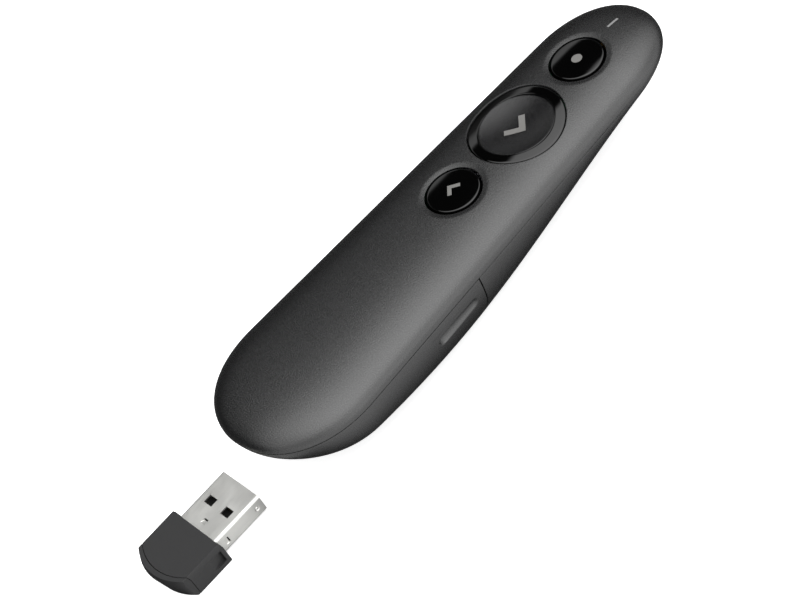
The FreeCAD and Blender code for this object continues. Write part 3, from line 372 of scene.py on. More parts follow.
def walled_patch(outer, inner):
    """A shell closed all round: each row runs out along the outer points and back along the inner ones."""
    rows, columns = outer.shape[:2]
    loops = np.concatenate([outer, inner[:, ::-1]], axis=1)
    last = 2 * columns - 1
    faces = grid_faces(rows, 2 * columns, True).tolist()
    for start in (0, (rows - 1) * 2 * columns):
        faces += [[start + column, start + column + 1, start + last - column - 1, start + last - column]
                  for column in range(columns - 1)]
    return loops.reshape(-1, 3), faces


def block_patch(x, s, up):
    """A block between pairs of x, s and up."""
    corners = [(x[i], s[j]) for i, j in ((0, 0), (1, 0), (1, 1), (0, 1))]
    return capped_patch(np.array([[(a, b, height) for a, b in corners] for height in up], dtype=float))


def new_piece(name, patches, place):
    """A mesh object from patches of points and faces: like points merged and faces turned outwards."""
    points, faces, count = [], [], 0
    for spots, polygons in patches:
        points.append(spots)
        faces += [[corner + count for corner in polygon] for polygon in polygons]
        count += len(spots)
    mesh = bpy.data.meshes.new(name)
    mesh.from_pydata((place(np.concatenate(points)) / 1000).tolist(), [], faces)
    shape = bmesh.new()
    shape.from_mesh(mesh)
    bmesh.ops.remove_doubles(shape, verts=shape.verts, dist=MERGE)
    bmesh.ops.dissolve_degenerate(shape, edges=shape.edges, dist=MERGE / 10)
    bmesh.ops.recalc_face_normals(shape, faces=shape.faces)
    shape.to_mesh(mesh)
    shape.free()
    normals, centres, areas = (np.empty(len(mesh.polygons) * n) for n in (3, 3, 1))
    mesh.polygons.foreach_get("normal", normals)
    mesh.polygons.foreach_get("center", centres)
    mesh.polygons.foreach_get("area", areas)
    centres = centres.reshape(-1, 3)
    outward = ((centres - centres.mean(axis=0)) * normals.reshape(-1, 3)).sum(axis=1)
    if (outward * areas).sum() < 0:
        mesh.flip_normals()
    piece = bpy.data.objects.new(name, mesh)
    bpy.context.scene.collection.objects.link(piece)
    shade(piece)
    return piece


def shade(piece, angle=math.radians(32)):
    """Smooth shading with sharp edges where faces meet at more than an angle."""
    piece.data.shade_smooth()
    piece.data.set_sharp_from_angle(angle=angle)


def thicken(piece, thickness):
    """Gives a surface its wall, inwards, and keeps the result as the piece's mesh."""
    wall = piece.modifiers.new("wall", "SOLIDIFY")
    wall.thickness, wall.offset = thickness / 1000, -1
    wall.use_even_offset = False
    depsgraph = bpy.context.evaluated_depsgraph_get()
    made = bpy.data.meshes.new_from_object(piece.evaluated_get(depsgraph))
    piece.modifiers.clear()
    old, piece.data = piece.data, made
    made.name = piece.name
    bpy.data.meshes.remove(old)
    shade(piece)
    return piece


def soften(piece, width, angle=math.radians(30)):
    """Rounds the piece's sharp edges a little."""
    edge = piece.modifiers.new("edges", "BEVEL")
    edge.width, edge.segments = width / 1000, 2
    edge.limit_method, edge.angle_limit = "ANGLE", angle
    edge.harden_normals = True
    return piece


def draw_in_seam(piece):
    """Draws the edge at the parting line in along its normals, most at the line and none beyond the seam's reach."""
    depth, reach = mm(casing(), "seam_depth", "seam_reach")
    mesh = piece.data
    points, normals = (np.empty(len(mesh.vertices) * 3) for _ in range(2))
    mesh.vertices.foreach_get("co", points)
    mesh.vertices.foreach_get("normal", normals)
    points, normals = points.reshape(-1, 3), normals.reshape(-1, 3)
    height = np.abs(to_deck(points * 1000)[:, 2])
    share_in = np.clip(1 - height / reach, 0, 1)[:, None]
    points = points - normals * share_in * depth / 1000
    mesh.vertices.foreach_set("co", points.ravel())
    mesh.update()


def clear_holes(piece):
    """Moves what the wall's thickness brought into the button holes back out to their sides."""
    b = buttons()
    gap = mm(b, "gap")
    points = np.empty(len(piece.data.vertices) * 3)
    piece.data.vertices.foreach_get("co", points)
    points = to_deck(points.reshape(-1, 3) * 1000)
    for name, place in button_places().items():
        hole = gap + mm(b, "ring_radius" if name == "next" else "small_radius")
        out = np.hypot(points[:, 0], points[:, 1] - place)
        grown = np.where((out < hole) & (out > 0.8 * hole), hole / np.maximum(out, 1e-9), 1)
        points[:, 0] *= grown
        points[:, 1] = place + (points[:, 1] - place) * grown
    piece.data.vertices.foreach_set("co", (from_deck(points) / 1000).ravel())
    piece.data.update()


def settle(piece, body, slot, *nodes):
    """Rides a finished piece on its body, gives it its finish, and hides the CAD nodes that it stands for."""
    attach(piece, body)
    if nodes:
        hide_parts(*nodes)
    piece.data.materials.clear()
    piece.data.materials.append(finish(slot))
    return piece


# Section places that all the casing's grids share
CENTRE_HALF = 0.01268
MIDDLE_REACH = 0.6
MIDDLE = np.concatenate([np.linspace(-MIDDLE_REACH, -CENTRE_HALF, 22), np.linspace(CENTRE_HALF, MIDDLE_REACH, 22)])
FLANK = np.concatenate([np.linspace(MIDDLE_REACH, 0.96, 19), [0.972, 0.98, 0.987, 0.993, 0.997, 1.0]])
ACROSS = np.concatenate([-FLANK[::-1], MIDDLE[1:-1], FLANK])

# Blocks on the right side of the housing, mirrored to the left: pairs of x, s and up, in millimetres
HOUSING_BLOCKS = (((11.75, 15.0), (48.9, 60.0), (-3.4, -2.2)), ((2.4, 4.4), (122.4, 123.4), (-0.6, 1.4)))

# The cover's ribs and hooks, in millimetres
RIB_PLACES, RIB_HALF, RIB_THICK, RIB_SINK, RIB_TOP = (20.0, 46.0), 10.0, 0.6, 0.8, -6.6
CRADLE_RADIUS, CELL_SIDE, CELL_DROP = 5.4, 5.35, 3.6
HOOK_PLACES, HOOK_HALF, HOOK_FOOT, HOOK_TOP, HOOK_ROOT_TOP = (24.0, 40.0), 2.5, -2.5, 1.2, -0.4
HOOK_REACH = (2.2, 1.1, -0.4)

# Places of the nose's openings, in millimetres
SLIT_TAIL, SLIT_NOSE = 117.56, 120.74
LENS_PATCH = 125.2
LENS_RISE, LENS_RADIUS = 1.15, 0.93


def ringed_patch(centre, radii, border, lift, border_points, shares=np.linspace(0, 1, 9)[1:]):
    """Rings round a hole: true circles of the given radii, then rings that blend into the patch's border.

    A ring's angles are those of the border's points seen from the centre. Beyond the last circle each ring is that
    circle plus a growing share of the way to the border. Lift gives a flat point its place in space.
    """
    turn = np.arctan2(border[:, 1] - centre[1], border[:, 0] - centre[0])
    way = np.stack([np.cos(turn), np.sin(turn)], axis=-1)
    circles = [np.array(centre) + way * radius for radius in radii]
    outer = [circles[-1] * (1 - part) + border * part for part in shares]
    flat = np.array(circles + outer)
    points = lift(flat.reshape(-1, 2)).reshape(*flat.shape[:2], 3)
    points[-1] = border_points
    return grid_patch(points, closed=True)


def button_places():
    back, pitch = mm(buttons(), "back", "pitch")
    return {"back": back, "next": back + pitch, "pointer": back + 2 * pitch}


def deck_patch(low, high, place, small):
    """The deck's middle round one button hole, from station low to high."""
    b = buttons()
    gap = mm(b, "gap")
    hole = gap + mm(b, "small_radius" if small else "ring_radius")
    depth, width, edge = mm(b, "recess_depth", "recess_width", "hole_edge")
    stations = np.linspace(low, high, int((high - low) / 0.55))
    corners = casing_grid(stations, MIDDLE, True)
    border = np.concatenate([corners[0, :-1], corners[:-1, -1], corners[-1, :0:-1], corners[:0:-1, 0]])

    def lift(flat):
        x, s = flat.T
        out = np.hypot(x, s - place) - hole
        if small:
            drop = depth * soft_positive(1 - out / width, b.recess_soft)
        else:
            inner = np.clip(1 - out / edge, 0, 1)
            drop = edge * (1 - np.sqrt(1 - 0.94 * inner ** 2))
        return np.stack([x, s, height_over(x, s) - drop], axis=-1)

    spread = np.linspace(0, 1.25 * width, 10) if small else np.array([0, 0.15, 0.35, 0.65, 1.0, 3.0]) * edge
    return ringed_patch((0, place), hole + spread, border[:, :2], lift, border), stations


def nose_patch():
    """The blunt nose round the laser's opening, drawn from the front.

    Its border is the last section and the parting line. A front point's station is where the section's height at
    its x has sunk to its own, found by halving.
    """
    whole = mm(casing(), "length")
    section = casing_grid(np.array([LENS_PATCH]), ACROSS, True)[0]
    half = section[-1, 0]
    x = np.linspace(half, -half, 62)[1:-1]
    line = np.stack([x, np.zeros_like(x)], axis=-1)

    def lift(front):
        x, up = front.T
        low, high = np.full(len(x), LENS_PATCH), np.full(len(x), whole)
        for _ in range(44):
            middle = (low + high) / 2
            within = (np.abs(x) <= casing_at(middle)[0]) & (up <= height_over(x, middle))
            low, high = np.where(within, middle, low), np.where(within, high, middle)
        return np.stack([x, low, up], axis=-1)

    border_points = np.concatenate([section, lift(line)])
    radii = LENS_RADIUS + np.array([0, 0.03, 0.08])
    return ringed_patch((0, LENS_RISE), radii, border_points[:, [0, 2]], lift, border_points,
                        np.sin(np.linspace(0, math.pi / 2, 30))[1:])


class CLICKER_OT_top_cover(bpy.types.Operator):
    """The top of the casing: one crowned shell with three button holes, the light's slit and the laser's opening"""

    bl_idname = "clicker.top_cover"
    bl_label = "Top cover"

    def execute(self, context):
        places = button_places()
        half = mm(buttons(), "patch_half")
        reach = [places[name] + side * half for name in ("back", "pointer") for side in (-1, 1)]
        patches = [grid_patch(casing_grid(tail_stations(52, reach[0]), ACROSS, True))]
        for (low, high), name in zip(zip(reach, reach[1:]), places):
            middle, stations = deck_patch(low, high, places[name], name != "next")
            patches.append(middle)
            patches += [grid_patch(casing_grid(stations, side, True)) for side in (-FLANK[::-1], FLANK)]
        stations = np.sort(np.concatenate([nose_stations(34, reach[3], LENS_PATCH), [SLIT_TAIL, SLIT_NOSE]]))
        middles = (stations[1:] + stations[:-1]) / 2
        in_slit = (middles > SLIT_TAIL) & (middles < SLIT_NOSE)
        at_centre = np.abs(ACROSS[1:] + ACROSS[:-1]) < 1e-6
        patches.append(grid_patch(casing_grid(stations, ACROSS, True), left_out=np.outer(in_slit, at_centre)))
        patches.append(nose_patch())
        piece = new_piece("top_shell", patches, from_deck)
        draw_in_seam(piece)
        thicken(piece, mm(casing(), "wall"))
        clear_holes(piece)
        settle(piece, "casing", "casing_graphite", "top_cover")
        return {"FINISHED"}


def land(points):
    """Presses what would reach below the floor flat against it."""
    placed = from_deck(points)
    placed[:, 2] = np.maximum(placed[:, 2], 0)
    return placed


class CLICKER_OT_lower_housing(bpy.types.Operator):
    """The fixed lower shell at the nose, with the rails that carry the battery tray"""

    bl_idname = "clicker.lower_housing"
    bl_label = "Lower housing"

    def execute(self, context):
        c = casing()
        whole, split, gap, nose = mm(c, "length", "split", "split_gap", "nose_round")
        even = np.linspace(split + gap / 2, whole - nose, 60)
        stations = np.concatenate([even, nose_stations(60, whole - nose, whole)[1:]])
        outer = casing_grid(stations, ACROSS, False)
        piece = new_piece("housing_shell", [walled_patch(outer, self.inner_wall(stations))], land)
        draw_in_seam(piece)
        settle(piece, "casing", "casing_graphite", "lower_housing")
        blocks = []
        for side in (-1, 1):
            blocks += [block_patch(sorted(side * place for place in x), s, up) for x, s, up in HOUSING_BLOCKS]
        rails = new_piece("housing_rails", blocks, from_deck)
        settle(soften(rails, 0.12), "casing", "casing_graphite")
        return {"FINISHED"}

    def inner_wall(self, stations):
        """The outer form drawn in by the wall, or by half its depth where it is shallower, and back from the nose."""
        whole, wall, nose = mm(casing(), "length", "wall", "nose_round")
        back = wall * np.clip((stations - whole + nose) / nose, 0, 1) ** 2
        points = casing_grid(stations - back, ACROSS, False)
        half, _, belly = (values[:, None] for values in casing_at(stations - back))
        points[..., 0] *= 1 - wall / half
        points[..., 2] *= 1 - np.minimum(wall / belly, 0.5)
        return points


def grip_axis():
    """Distance of the finger recess's axis from the middle: the belly's half width there, less depth, plus radius."""
    c = casing()
    place, drop, depth, radius = mm(c, "grip", "grip_drop", "grip_depth", "grip_radius")
    half, _, belly = casing_at(np.array([place]))
    across, rise = quarter(QUARTER_STEPS, c.belly_full)
    return float(half[0] * np.interp(drop / belly[0], rise, across)) - depth + radius


def cut_grips(points):
    """Presses both finger recesses into the cover: a capsule's inner wall, met with a soft edge."""
    c = casing()
    place, long, radius, drop, soft = mm(c, "grip", "grip_length", "grip_radius", "grip_drop", "grip_soft")
    x, s, up = points.reshape(-1, 3).T
    beyond = np.maximum(np.abs(s - place) - long / 2, 0)
    wall = grip_axis() - np.sqrt(np.clip(radius ** 2 - beyond ** 2 - (up + drop) ** 2, 0, None))
    depth = soft_positive(np.abs(x) - wall, soft)
    near = (beyond < 1.6 * radius) & (np.abs(up + drop) < 1.6 * radius)
    x = np.where(near, np.sign(x) * (np.abs(x) - depth), x)
    return np.stack([x, s, up], axis=-1).reshape(points.shape)


class CLICKER_OT_battery_cover(bpy.types.Operator):
    """The battery cover: the grip's shell with a finger recess on both sides, its cell ribs and its hooks"""

    bl_idname = "clicker.battery_cover"
    bl_label = "Battery cover"

    def execute(self, context):
        c = casing()
        split, gap, rim, wall = mm(c, "split", "split_gap", "rim_gap", "wall")
        stations = tail_stations(52, split - gap / 2)
        stations = np.concatenate([stations[stations < 39.8], np.linspace(40, 54, 64),
                                   np.linspace(54.3, split - gap / 2, 4)])
        side = np.concatenate([np.linspace(CENTRE_HALF, 0.78, 26), np.linspace(0.785, 0.945, 44),
                               np.linspace(0.95, 0.985, 6), [0.99, 0.994, 0.997, 1.0]])
        points = casing_grid(stations, np.concatenate([-side[::-1], side]), False)
        points = cut_grips(points)
        points[..., 2] = -rim + points[..., 2] * (1 - rim / mm(c, "belly"))
        piece = new_piece("cover_shell", [grid_patch(points)], land)
        draw_in_seam(piece)
        settle(thicken(piece, wall), "battery_cover", "casing_graphite", "battery_cover")
        settle(soften(new_piece("cover_ribs", self.ribs() + self.hooks(wall), from_deck), 0.1),
               "battery_cover", "casing_graphite")
        return {"FINISHED"}

    def ribs(self):
        """Two ribs across the cover: their foot in the wall, their top cut by the two cells' circles."""
        x = np.linspace(-RIB_HALF, RIB_HALF, 81)
        patches = []
        for place in RIB_PLACES:
            foot = -height_over(x, np.full_like(x, place), False) + RIB_SINK
            hollow = np.sqrt(np.clip(CRADLE_RADIUS ** 2 - (np.abs(x) - CELL_SIDE) ** 2, 0, None))
            top = np.minimum(RIB_TOP, -CELL_DROP - hollow)
            rings = [np.stack([x, np.full_like(x, place + side * RIB_THICK), edge], axis=-1)
                     for side, edge in ((-1, foot), (1, foot), (1, top), (-1, top))]
            patches.append(capped_patch(np.stack(rings, axis=1)))
        return patches

    def hooks(self, wall):
        """Four upright hooks inside the rim, each with a root that joins it to the wall."""
        patches = []
        for place in HOOK_PLACES:
            edge = float(casing_at(np.array([place]))[0][0]) - wall
            span = (place - HOOK_HALF, place + HOOK_HALF)
            for side in (-1, 1):
                near, far, root = (side * (edge - reach) for reach in HOOK_REACH)
                patches.append(block_patch(sorted((near, far)), span, (HOOK_FOOT, HOOK_TOP)))
                patches.append(block_patch(sorted((near, root)), span, (HOOK_FOOT, HOOK_ROOT_TOP)))
        return patches


def turned(place, radii, heights, follows, count=168):
    """A closed round form: rings of the given radii about a place on the deck.

    A ring that follows the crown has its height added to the crown under it; the others lie level.
    """
    turn = np.linspace(0, 2 * math.pi, count, endpoint=False)
    radii, heights, follows = (np.array(values, dtype=float)[:, None] for values in (radii, heights, follows))
    x, s = radii * np.cos(turn), place + radii * np.sin(turn)
    up = heights + follows * height_over(x, s)
    return grid_patch(np.stack([x, s, up], axis=-1), closed=True)


def roll(radius, edge, level, outwards=True, steps=9):
    """Rings of a quarter round edge that ends at a radius: its radii and its heights."""
    turn = np.linspace(0, math.pi / 2, steps)
    sign = 1 if outwards else -1
    return radius - sign * edge * (1 - np.sin(turn)), level - edge * (1 - np.cos(turn))


def foot_of_button(radius):
    """Level rings that close a button below: the underside, the stem and its end."""
    bottom, stem_bottom, stem = mm(buttons(), "bottom", "stem_bottom", "stem_radius")
    return [radius, stem, stem, 0], [bottom, bottom, stem_bottom, stem_bottom]


def crowned_button(place):
    b = buttons()
    radius, edge, skirt, fall, sink = mm(b, "small_radius", "small_roll", "small_skirt", "small_fall", "sink")
    rolled, falls = roll(radius - skirt, edge, -sink, True, 13)
    rolled, falls = np.append(rolled[:-2], radius), np.append(falls[:-2], falls[-3] - fall)
    low_radii, low_heights = foot_of_button(radius)
    flat = np.linspace(0, radius - skirt - edge, 24)[:-1]
    radii = [*flat, *rolled, *low_radii]
    heights = [*[-sink] * len(flat), *falls, *low_heights]
    level = len(low_radii)
    return turned(place, radii, heights, [1] * (len(radii) - level) + [0] * level)


def chevron(tip, points_to, arm, band, surface):
    """A bent band: both arms run at half a right angle from the tip, arm across the deck, and are cut off square.

    It points to the right for 1 and to the left for -1. Along the grid's rows the band goes from one arm's end over
    the corner to the other's; its columns go across.
    """
    end, cut = tip[0] - points_to * arm, band / 2
    outer = np.array([(end, tip[1] + arm), tip, (end, tip[1] - arm)])
    inner = np.array([(end - points_to * cut, outer[0][1] - cut), (tip[0] - points_to * band, tip[1]),
                      (end - points_to * cut, outer[2][1] + cut)])
    steps = np.concatenate([np.linspace(0, 1, 16), np.linspace(1, 2, 16)[1:]])
    edges = [np.stack([np.interp(steps, range(3), side[:, axis]) for axis in (0, 1)], axis=-1)
             for side in (outer, inner)]
    parts = np.linspace(0, 1, 6)[None, :, None]
    flat = edges[0][:, None] * (1 - parts) + edges[1][:, None] * parts
    x, s = flat[..., 0], flat[..., 1]
    return grid_patch(np.stack([x, s, surface(x, s)], axis=-1))


def button_top(x, s):
    """Height of a small button's top under its mark."""
    lift, sink = mm(buttons(), "mark_lift", "sink")
    return height_over(x, s) - sink + lift


def dish_top(x, s):
    """Height of the dish under its mark.

    It is the dish's edge, less its hollow times one minus the squared share of its radius.
    """
    edge, hollow, radius, lift = mm(buttons(), "dish_edge", "dish_hollow", "dish_radius", "mark_lift")
    out = np.hypot(x, s - button_places()["next"]) / radius
    return edge - hollow * (1 - out ** 2) + lift


def settle_mark(piece, body):
    settle(thicken(piece, mm(buttons(), "mark_body")), body, "button_black")
    piece.data.materials[0] = mark_finish()


class CLICKER_OT_small_buttons(bpy.types.Operator):
    """The back and the pointer button, which follow the crown, with their marks"""

    bl_idname = "clicker.small_buttons"
    bl_label = "Small buttons"

    def execute(self, context):
        b, places = buttons(), button_places()
        for name in ("back", "pointer"):
            settle(new_piece(f"{name}_cap", [crowned_button(places[name])], from_deck),
                   f"{name}_button", "button_black", f"{name}_button")
        right, ahead, arm, band, dot = mm(b, "back_right", "back_ahead", "back_arm", "back_band", "dot_radius")
        patch = chevron((right, places["back"] + ahead), -1, arm, band, button_top)
        settle_mark(new_piece("back_mark", [patch], from_deck), "back_button")
        radii = np.linspace(0, dot, 8)
        lift, sink = mm(b, "mark_lift", "sink")
        patch = turned(places["pointer"], radii, [lift - sink] * len(radii), [1] * len(radii), 64)
        settle_mark(new_piece("pointer_mark", [patch], from_deck), "pointer_button")
        return {"FINISHED"}


class CLICKER_OT_next_button(bpy.types.Operator):
    """The next button: a glossy ring that follows the crown, a hollowed dish and its mark"""

    bl_idname = "clicker.next_button"
    bl_label = "Next button"

    def execute(self, context):
        b, place = buttons(), button_places()["next"]
        radius, dish, sink, edge, lip, floor, rim, hollow, fit = mm(
            b, "ring_radius", "dish_radius", "sink", "ring_roll", "ring_lip", "dish_floor", "dish_edge",
            "dish_hollow", "mark_lift")
        inner = dish + fit
        lip_radii, lip_heights = roll(inner, lip, -sink, False)
        out_radii, out_heights = roll(radius, edge, -sink)
        low_radii, low_heights = foot_of_button(radius)
        flat = np.linspace(inner + lip, radius - edge, 10)[1:-1]
        radii = [0, inner, *lip_radii[::-1], *flat, *out_radii, *low_radii]
        heights = [floor, floor, *lip_heights[::-1], *[-sink] * len(flat), *out_heights, *low_heights]
        level = len(low_radii)
        follows = [0, 0] + [1] * (len(radii) - 2 - level) + [0] * level
        settle(new_piece("next_ring", [turned(place, radii, heights, follows, 220)], from_deck),
               "next_button", "button_black", "next_button_ring")
        soft = mm(b, "dish_roll")
        spread = np.linspace(0, dish - soft, 30)
        bowl = rim - hollow * (1 - (spread / dish) ** 2)
        soft_radii, soft_heights = roll(dish, soft, float(bowl[-1]), True, 5)
        radii = [*spread, *soft_radii[1:], dish, 0]
        heights = [*bowl, *soft_heights[1:], floor, floor]
        settle(new_piece("next_dish", [turned(place, radii, heights, [0] * len(radii), 200)], from_deck),
               "next_button", "dish_satin", "next_button_dish")
        right, ahead, arm, band = mm(b, "next_right", "next_ahead", "next_arm", "next_band")
        patch = chevron((right, place + ahead), 1, arm, band, dish_top)
        settle_mark(new_piece("next_mark", [patch], from_deck), "next_button")
        return {"FINISHED"}


# Receiver

# Small rings on the plug's sides, and its latch tongues with the slots ahead of them, in millimetres
RING_RADIUS, RING_WIDTH, RING_DEPTH, RING_ZONE = 0.42, 0.13, 0.2, 0.7
SLOT_FAR, SLOT_NEAR = 0.72, 0.42
TONGUE_FAR, TONGUE_NEAR, TONGUE_ZONE = 0.55, 0.45, 0.9
SHELL_SEEN = 12.6


def along(*stops):
    """Places from stop to stop: each stop after the first is a pair of place and number of steps."""
    places = [stops[0]]
    for stop, steps in stops[1:]:
        places += list(np.linspace(places[-1], stop, steps + 1)[1:])
    return np.array(places)


class CLICKER_OT_plug_shell(bpy.types.Operator):
    """The plug's folded steel shell, with its windows, latch tongues and small side rings"""

    bl_idname = "clicker.plug_shell"
    bl_label = "Plug shell"

    def execute(self, context):
        r = receiver()
        half, low, height, corner = mm(r, "plug_half", "plug_low", "plug_height", "plug_corner")
        inner, outer, near, far = mm(r, "window_inner", "window_outer", "window_near", "window_far")
        long, latch, dimple = mm(r, "plug_length", "latch", "dimple")
        right = along(0.0, (1.0, 12), (inner, 3), (outer, 8), (half - corner, 5))
        top = np.concatenate([-right[:0:-1], right])
        turn = np.linspace(0, math.pi / 2, 8)[1:-1]
        side_low, side_high = low + corner, low + height - corner
        side = np.linspace(side_high, side_low, 34)
        centre = half - corner
        bend = np.stack([centre + corner * np.sin(turn), side_high + corner * np.cos(turn)], axis=-1)
        quarter_low = np.stack([centre + corner * np.cos(turn), side_low - corner * np.sin(turn)], axis=-1)
        right_side = np.stack([np.full_like(side, half), side], axis=-1)
        upper = np.stack([top, np.full_like(top, low + height)], axis=-1)
        lower = np.stack([top[::-1], np.full_like(top, low)], axis=-1)
        mirror = np.array([-1, 1])
        left = np.concatenate([quarter_low[::-1] * mirror, right_side[::-1] * mirror, bend[::-1] * mirror])
        ring = np.concatenate([upper, bend, right_side, quarter_low, lower, left])
        y = -along(0.0, (dimple - RING_ZONE, 6), (dimple + RING_ZONE, 22), (near, 10), (far, 6),
                   (latch - TONGUE_ZONE, 8), (latch + TONGUE_ZONE, 30), (SHELL_SEEN, 4), (long, 6))
        points = np.stack([np.broadcast_to(ring[:, 0], (len(y), len(ring))),
                           np.broadcast_to(y[:, None], (len(y), len(ring))),
                           np.broadcast_to(ring[:, 1], (len(y), len(ring)))], axis=-1).copy()
        x, back, up = points[..., 0], points[..., 1], points[..., 2]
        middle = low + height / 2
        level = np.abs(np.abs(up - middle) - height / 2) < 1e-6
        upright = np.abs(np.abs(x) - half) < 1e-6
        ramp = np.clip((latch + TONGUE_FAR + back) / (TONGUE_FAR + TONGUE_NEAR), 0, 1)
        ramp = ramp * (back > -latch - TONGUE_FAR) * (back < -latch + TONGUE_NEAR)
        tongue, tongue_side, bend_in = mm(r, "tongue_half", "tongue_side", "tongue_bend")
        on_top = level * ramp * (np.abs(x) < tongue)
        on_side = upright * ramp * (np.abs(up - middle) < tongue_side)
        circle = np.hypot(back + dimple, up - middle)
        rings = upright * np.exp(-((circle - RING_RADIUS) / RING_WIDTH) ** 2)
        points[..., 2] -= np.sign(up - middle) * bend_in * on_top
        points[..., 0] -= np.sign(x) * (bend_in * on_side + RING_DEPTH * rings)
        across = (np.abs(ring[:, 0]) + np.abs(np.roll(ring[:, 0], -1))) / 2
        flat = (np.abs(np.abs(ring[:, 1] - middle) - height / 2) < 1e-6)
        window_columns = (across > inner) & (across < outer) & flat & np.roll(flat, -1)
        middles = -(y[1:] + y[:-1]) / 2
        window_rows = (middles > near) & (middles < far)
        heights = (ring[:, 1] + np.roll(ring[:, 1], -1)) / 2
        tongues = ((across < tongue) & flat) | ((across > half - 1e-6) & (np.abs(heights - middle) < tongue_side))
        slots = (middles > latch - SLOT_FAR) & (middles < latch - SLOT_NEAR)
        openings = np.outer(window_rows, window_columns) | np.outer(slots, tongues)
        shell = new_piece("plug_steel", [grid_patch(points, True, openings)], from_receiver)
        settle(thicken(shell, mm(r, "plug_steel")), "receiver", "plug_steel", "usb_shell")
        return {"FINISHED"}


class CLICKER_OT_receiver_caps(bpy.types.Operator):
    """The receiver's bevelled housing with a finger notch on both sides, and its bowed end cap"""

    bl_idname = "clicker.receiver_caps"
    bl_label = "Receiver housing"

    def execute(self, context):
        r = receiver()
        top, bevel, drop, foot = mm(r, "cap_top", "cap_bevel", "cap_drop", "cap_foot")
        low, high = mm(r, "catch_low", "catch_high")
        levels = [(0, foot), (foot * 0.5, foot * 0.35), (foot, 0), (low - 0.02, 0), (low + 0.02, 0),
                  (high - 0.02, 0), (high + 0.02, 0), (top - drop, 0), (top, bevel)]
        rings = np.array([self.outline(inset, up) for up, inset in levels])
        cap = new_piece("receiver_body", [capped_patch(rings)], from_receiver)
        settle(soften(cap, 0.05), "receiver", "receiver_plastic", "receiver_cap")
        settle(soften(self.end_cap(top, bevel, drop, foot), 0.03), "receiver", "receiver_plastic",
               "receiver_end_cap")
        return {"FINISHED"}

    def outline(self, inset, up):
        """The housing from above at a height: a straight front, sides with their notches, and a bowed back.

        A notch is deepest at its front and runs out evenly to its back.
        """
        r = receiver()
        half, front, reach, radius, thick = mm(r, "cap_half", "cap_front", "cap_reach", "cap_radius",
                                               "end_thickness")
        near, far, depth, low, high = mm(r, "catch_near", "catch_far", "catch_depth", "catch_low", "catch_high")
        half, centre = half - inset, radius - reach + thick
        corner = centre - math.sqrt(radius ** 2 - half ** 2)
        front_line = np.linspace(-half, half, 25)[:-1]
        side = -along(front + inset, (near - 0.02, 2), (near + 0.02, 1), (far, 12), (-corner, 6))
        notch = np.clip((far + side) / (far - near), 0, 1) * (side < -near)
        deep = depth * notch * (low < up < high)
        bow = np.linspace(half, -half, 49)[1:-1]
        right = np.stack([half - deep, side], axis=-1)
        back = np.stack([bow, centre - np.sqrt(radius ** 2 - bow ** 2)], axis=-1)
        left = right[::-1] * np.array([-1, 1])
        loop = np.concatenate([np.stack([front_line, np.full(24, -front - inset)], axis=-1), right, back, left[:-1]])
        return np.column_stack([loop, np.full(len(loop), up)])

    def end_cap(self, top, bevel, drop, foot):
        """A bowed bar: its section goes round inner wall, underside, outer wall and top.

        Each of its lines is an arc; the outer wall's centre comes forward by the undercut at the floor.
        """
        r = receiver()
        half, reach, radius, thick, gap, under = mm(r, "cap_half", "cap_reach", "cap_radius", "end_thickness",
                                                    "end_gap", "cap_undercut")
        levels = [(0, foot, under), (foot, 0, under), (top - drop, 0, 0), (top, bevel, 0)]
        section = [(up, inset, thick - gap, radius) for up, inset, _ in levels[::-1]]
        section += [(up, inset, forward, radius - inset) for up, inset, forward in levels]
        way = np.linspace(-1, 1, 49)[:, None]
        up, inset, forward, arc = np.array(section).T
        x = way * (half - inset)
        y = radius - reach + forward - np.sqrt(arc ** 2 - x ** 2)
        rings = np.stack([x, y, np.broadcast_to(up, x.shape)], axis=-1)
        return new_piece("receiver_end", [capped_patch(rings)], from_receiver)


# Finishes
def node_group(name, inputs, outputs):
    """A shader node group with named sockets, or the one already made."""
    if name in bpy.data.node_groups:
        return bpy.data.node_groups[name], None, None
    group = bpy.data.node_groups.new(name, "ShaderNodeTree")
    for label, kind, value in inputs:
        socket = group.interface.new_socket(label, in_out="INPUT", socket_type=kind)
        socket.default_value = value
    for label, kind in outputs:
        group.interface.new_socket(label, in_out="OUTPUT", socket_type=kind)
    return group, group.nodes.new("NodeGroupInput"), group.nodes.new("NodeGroupOutput")


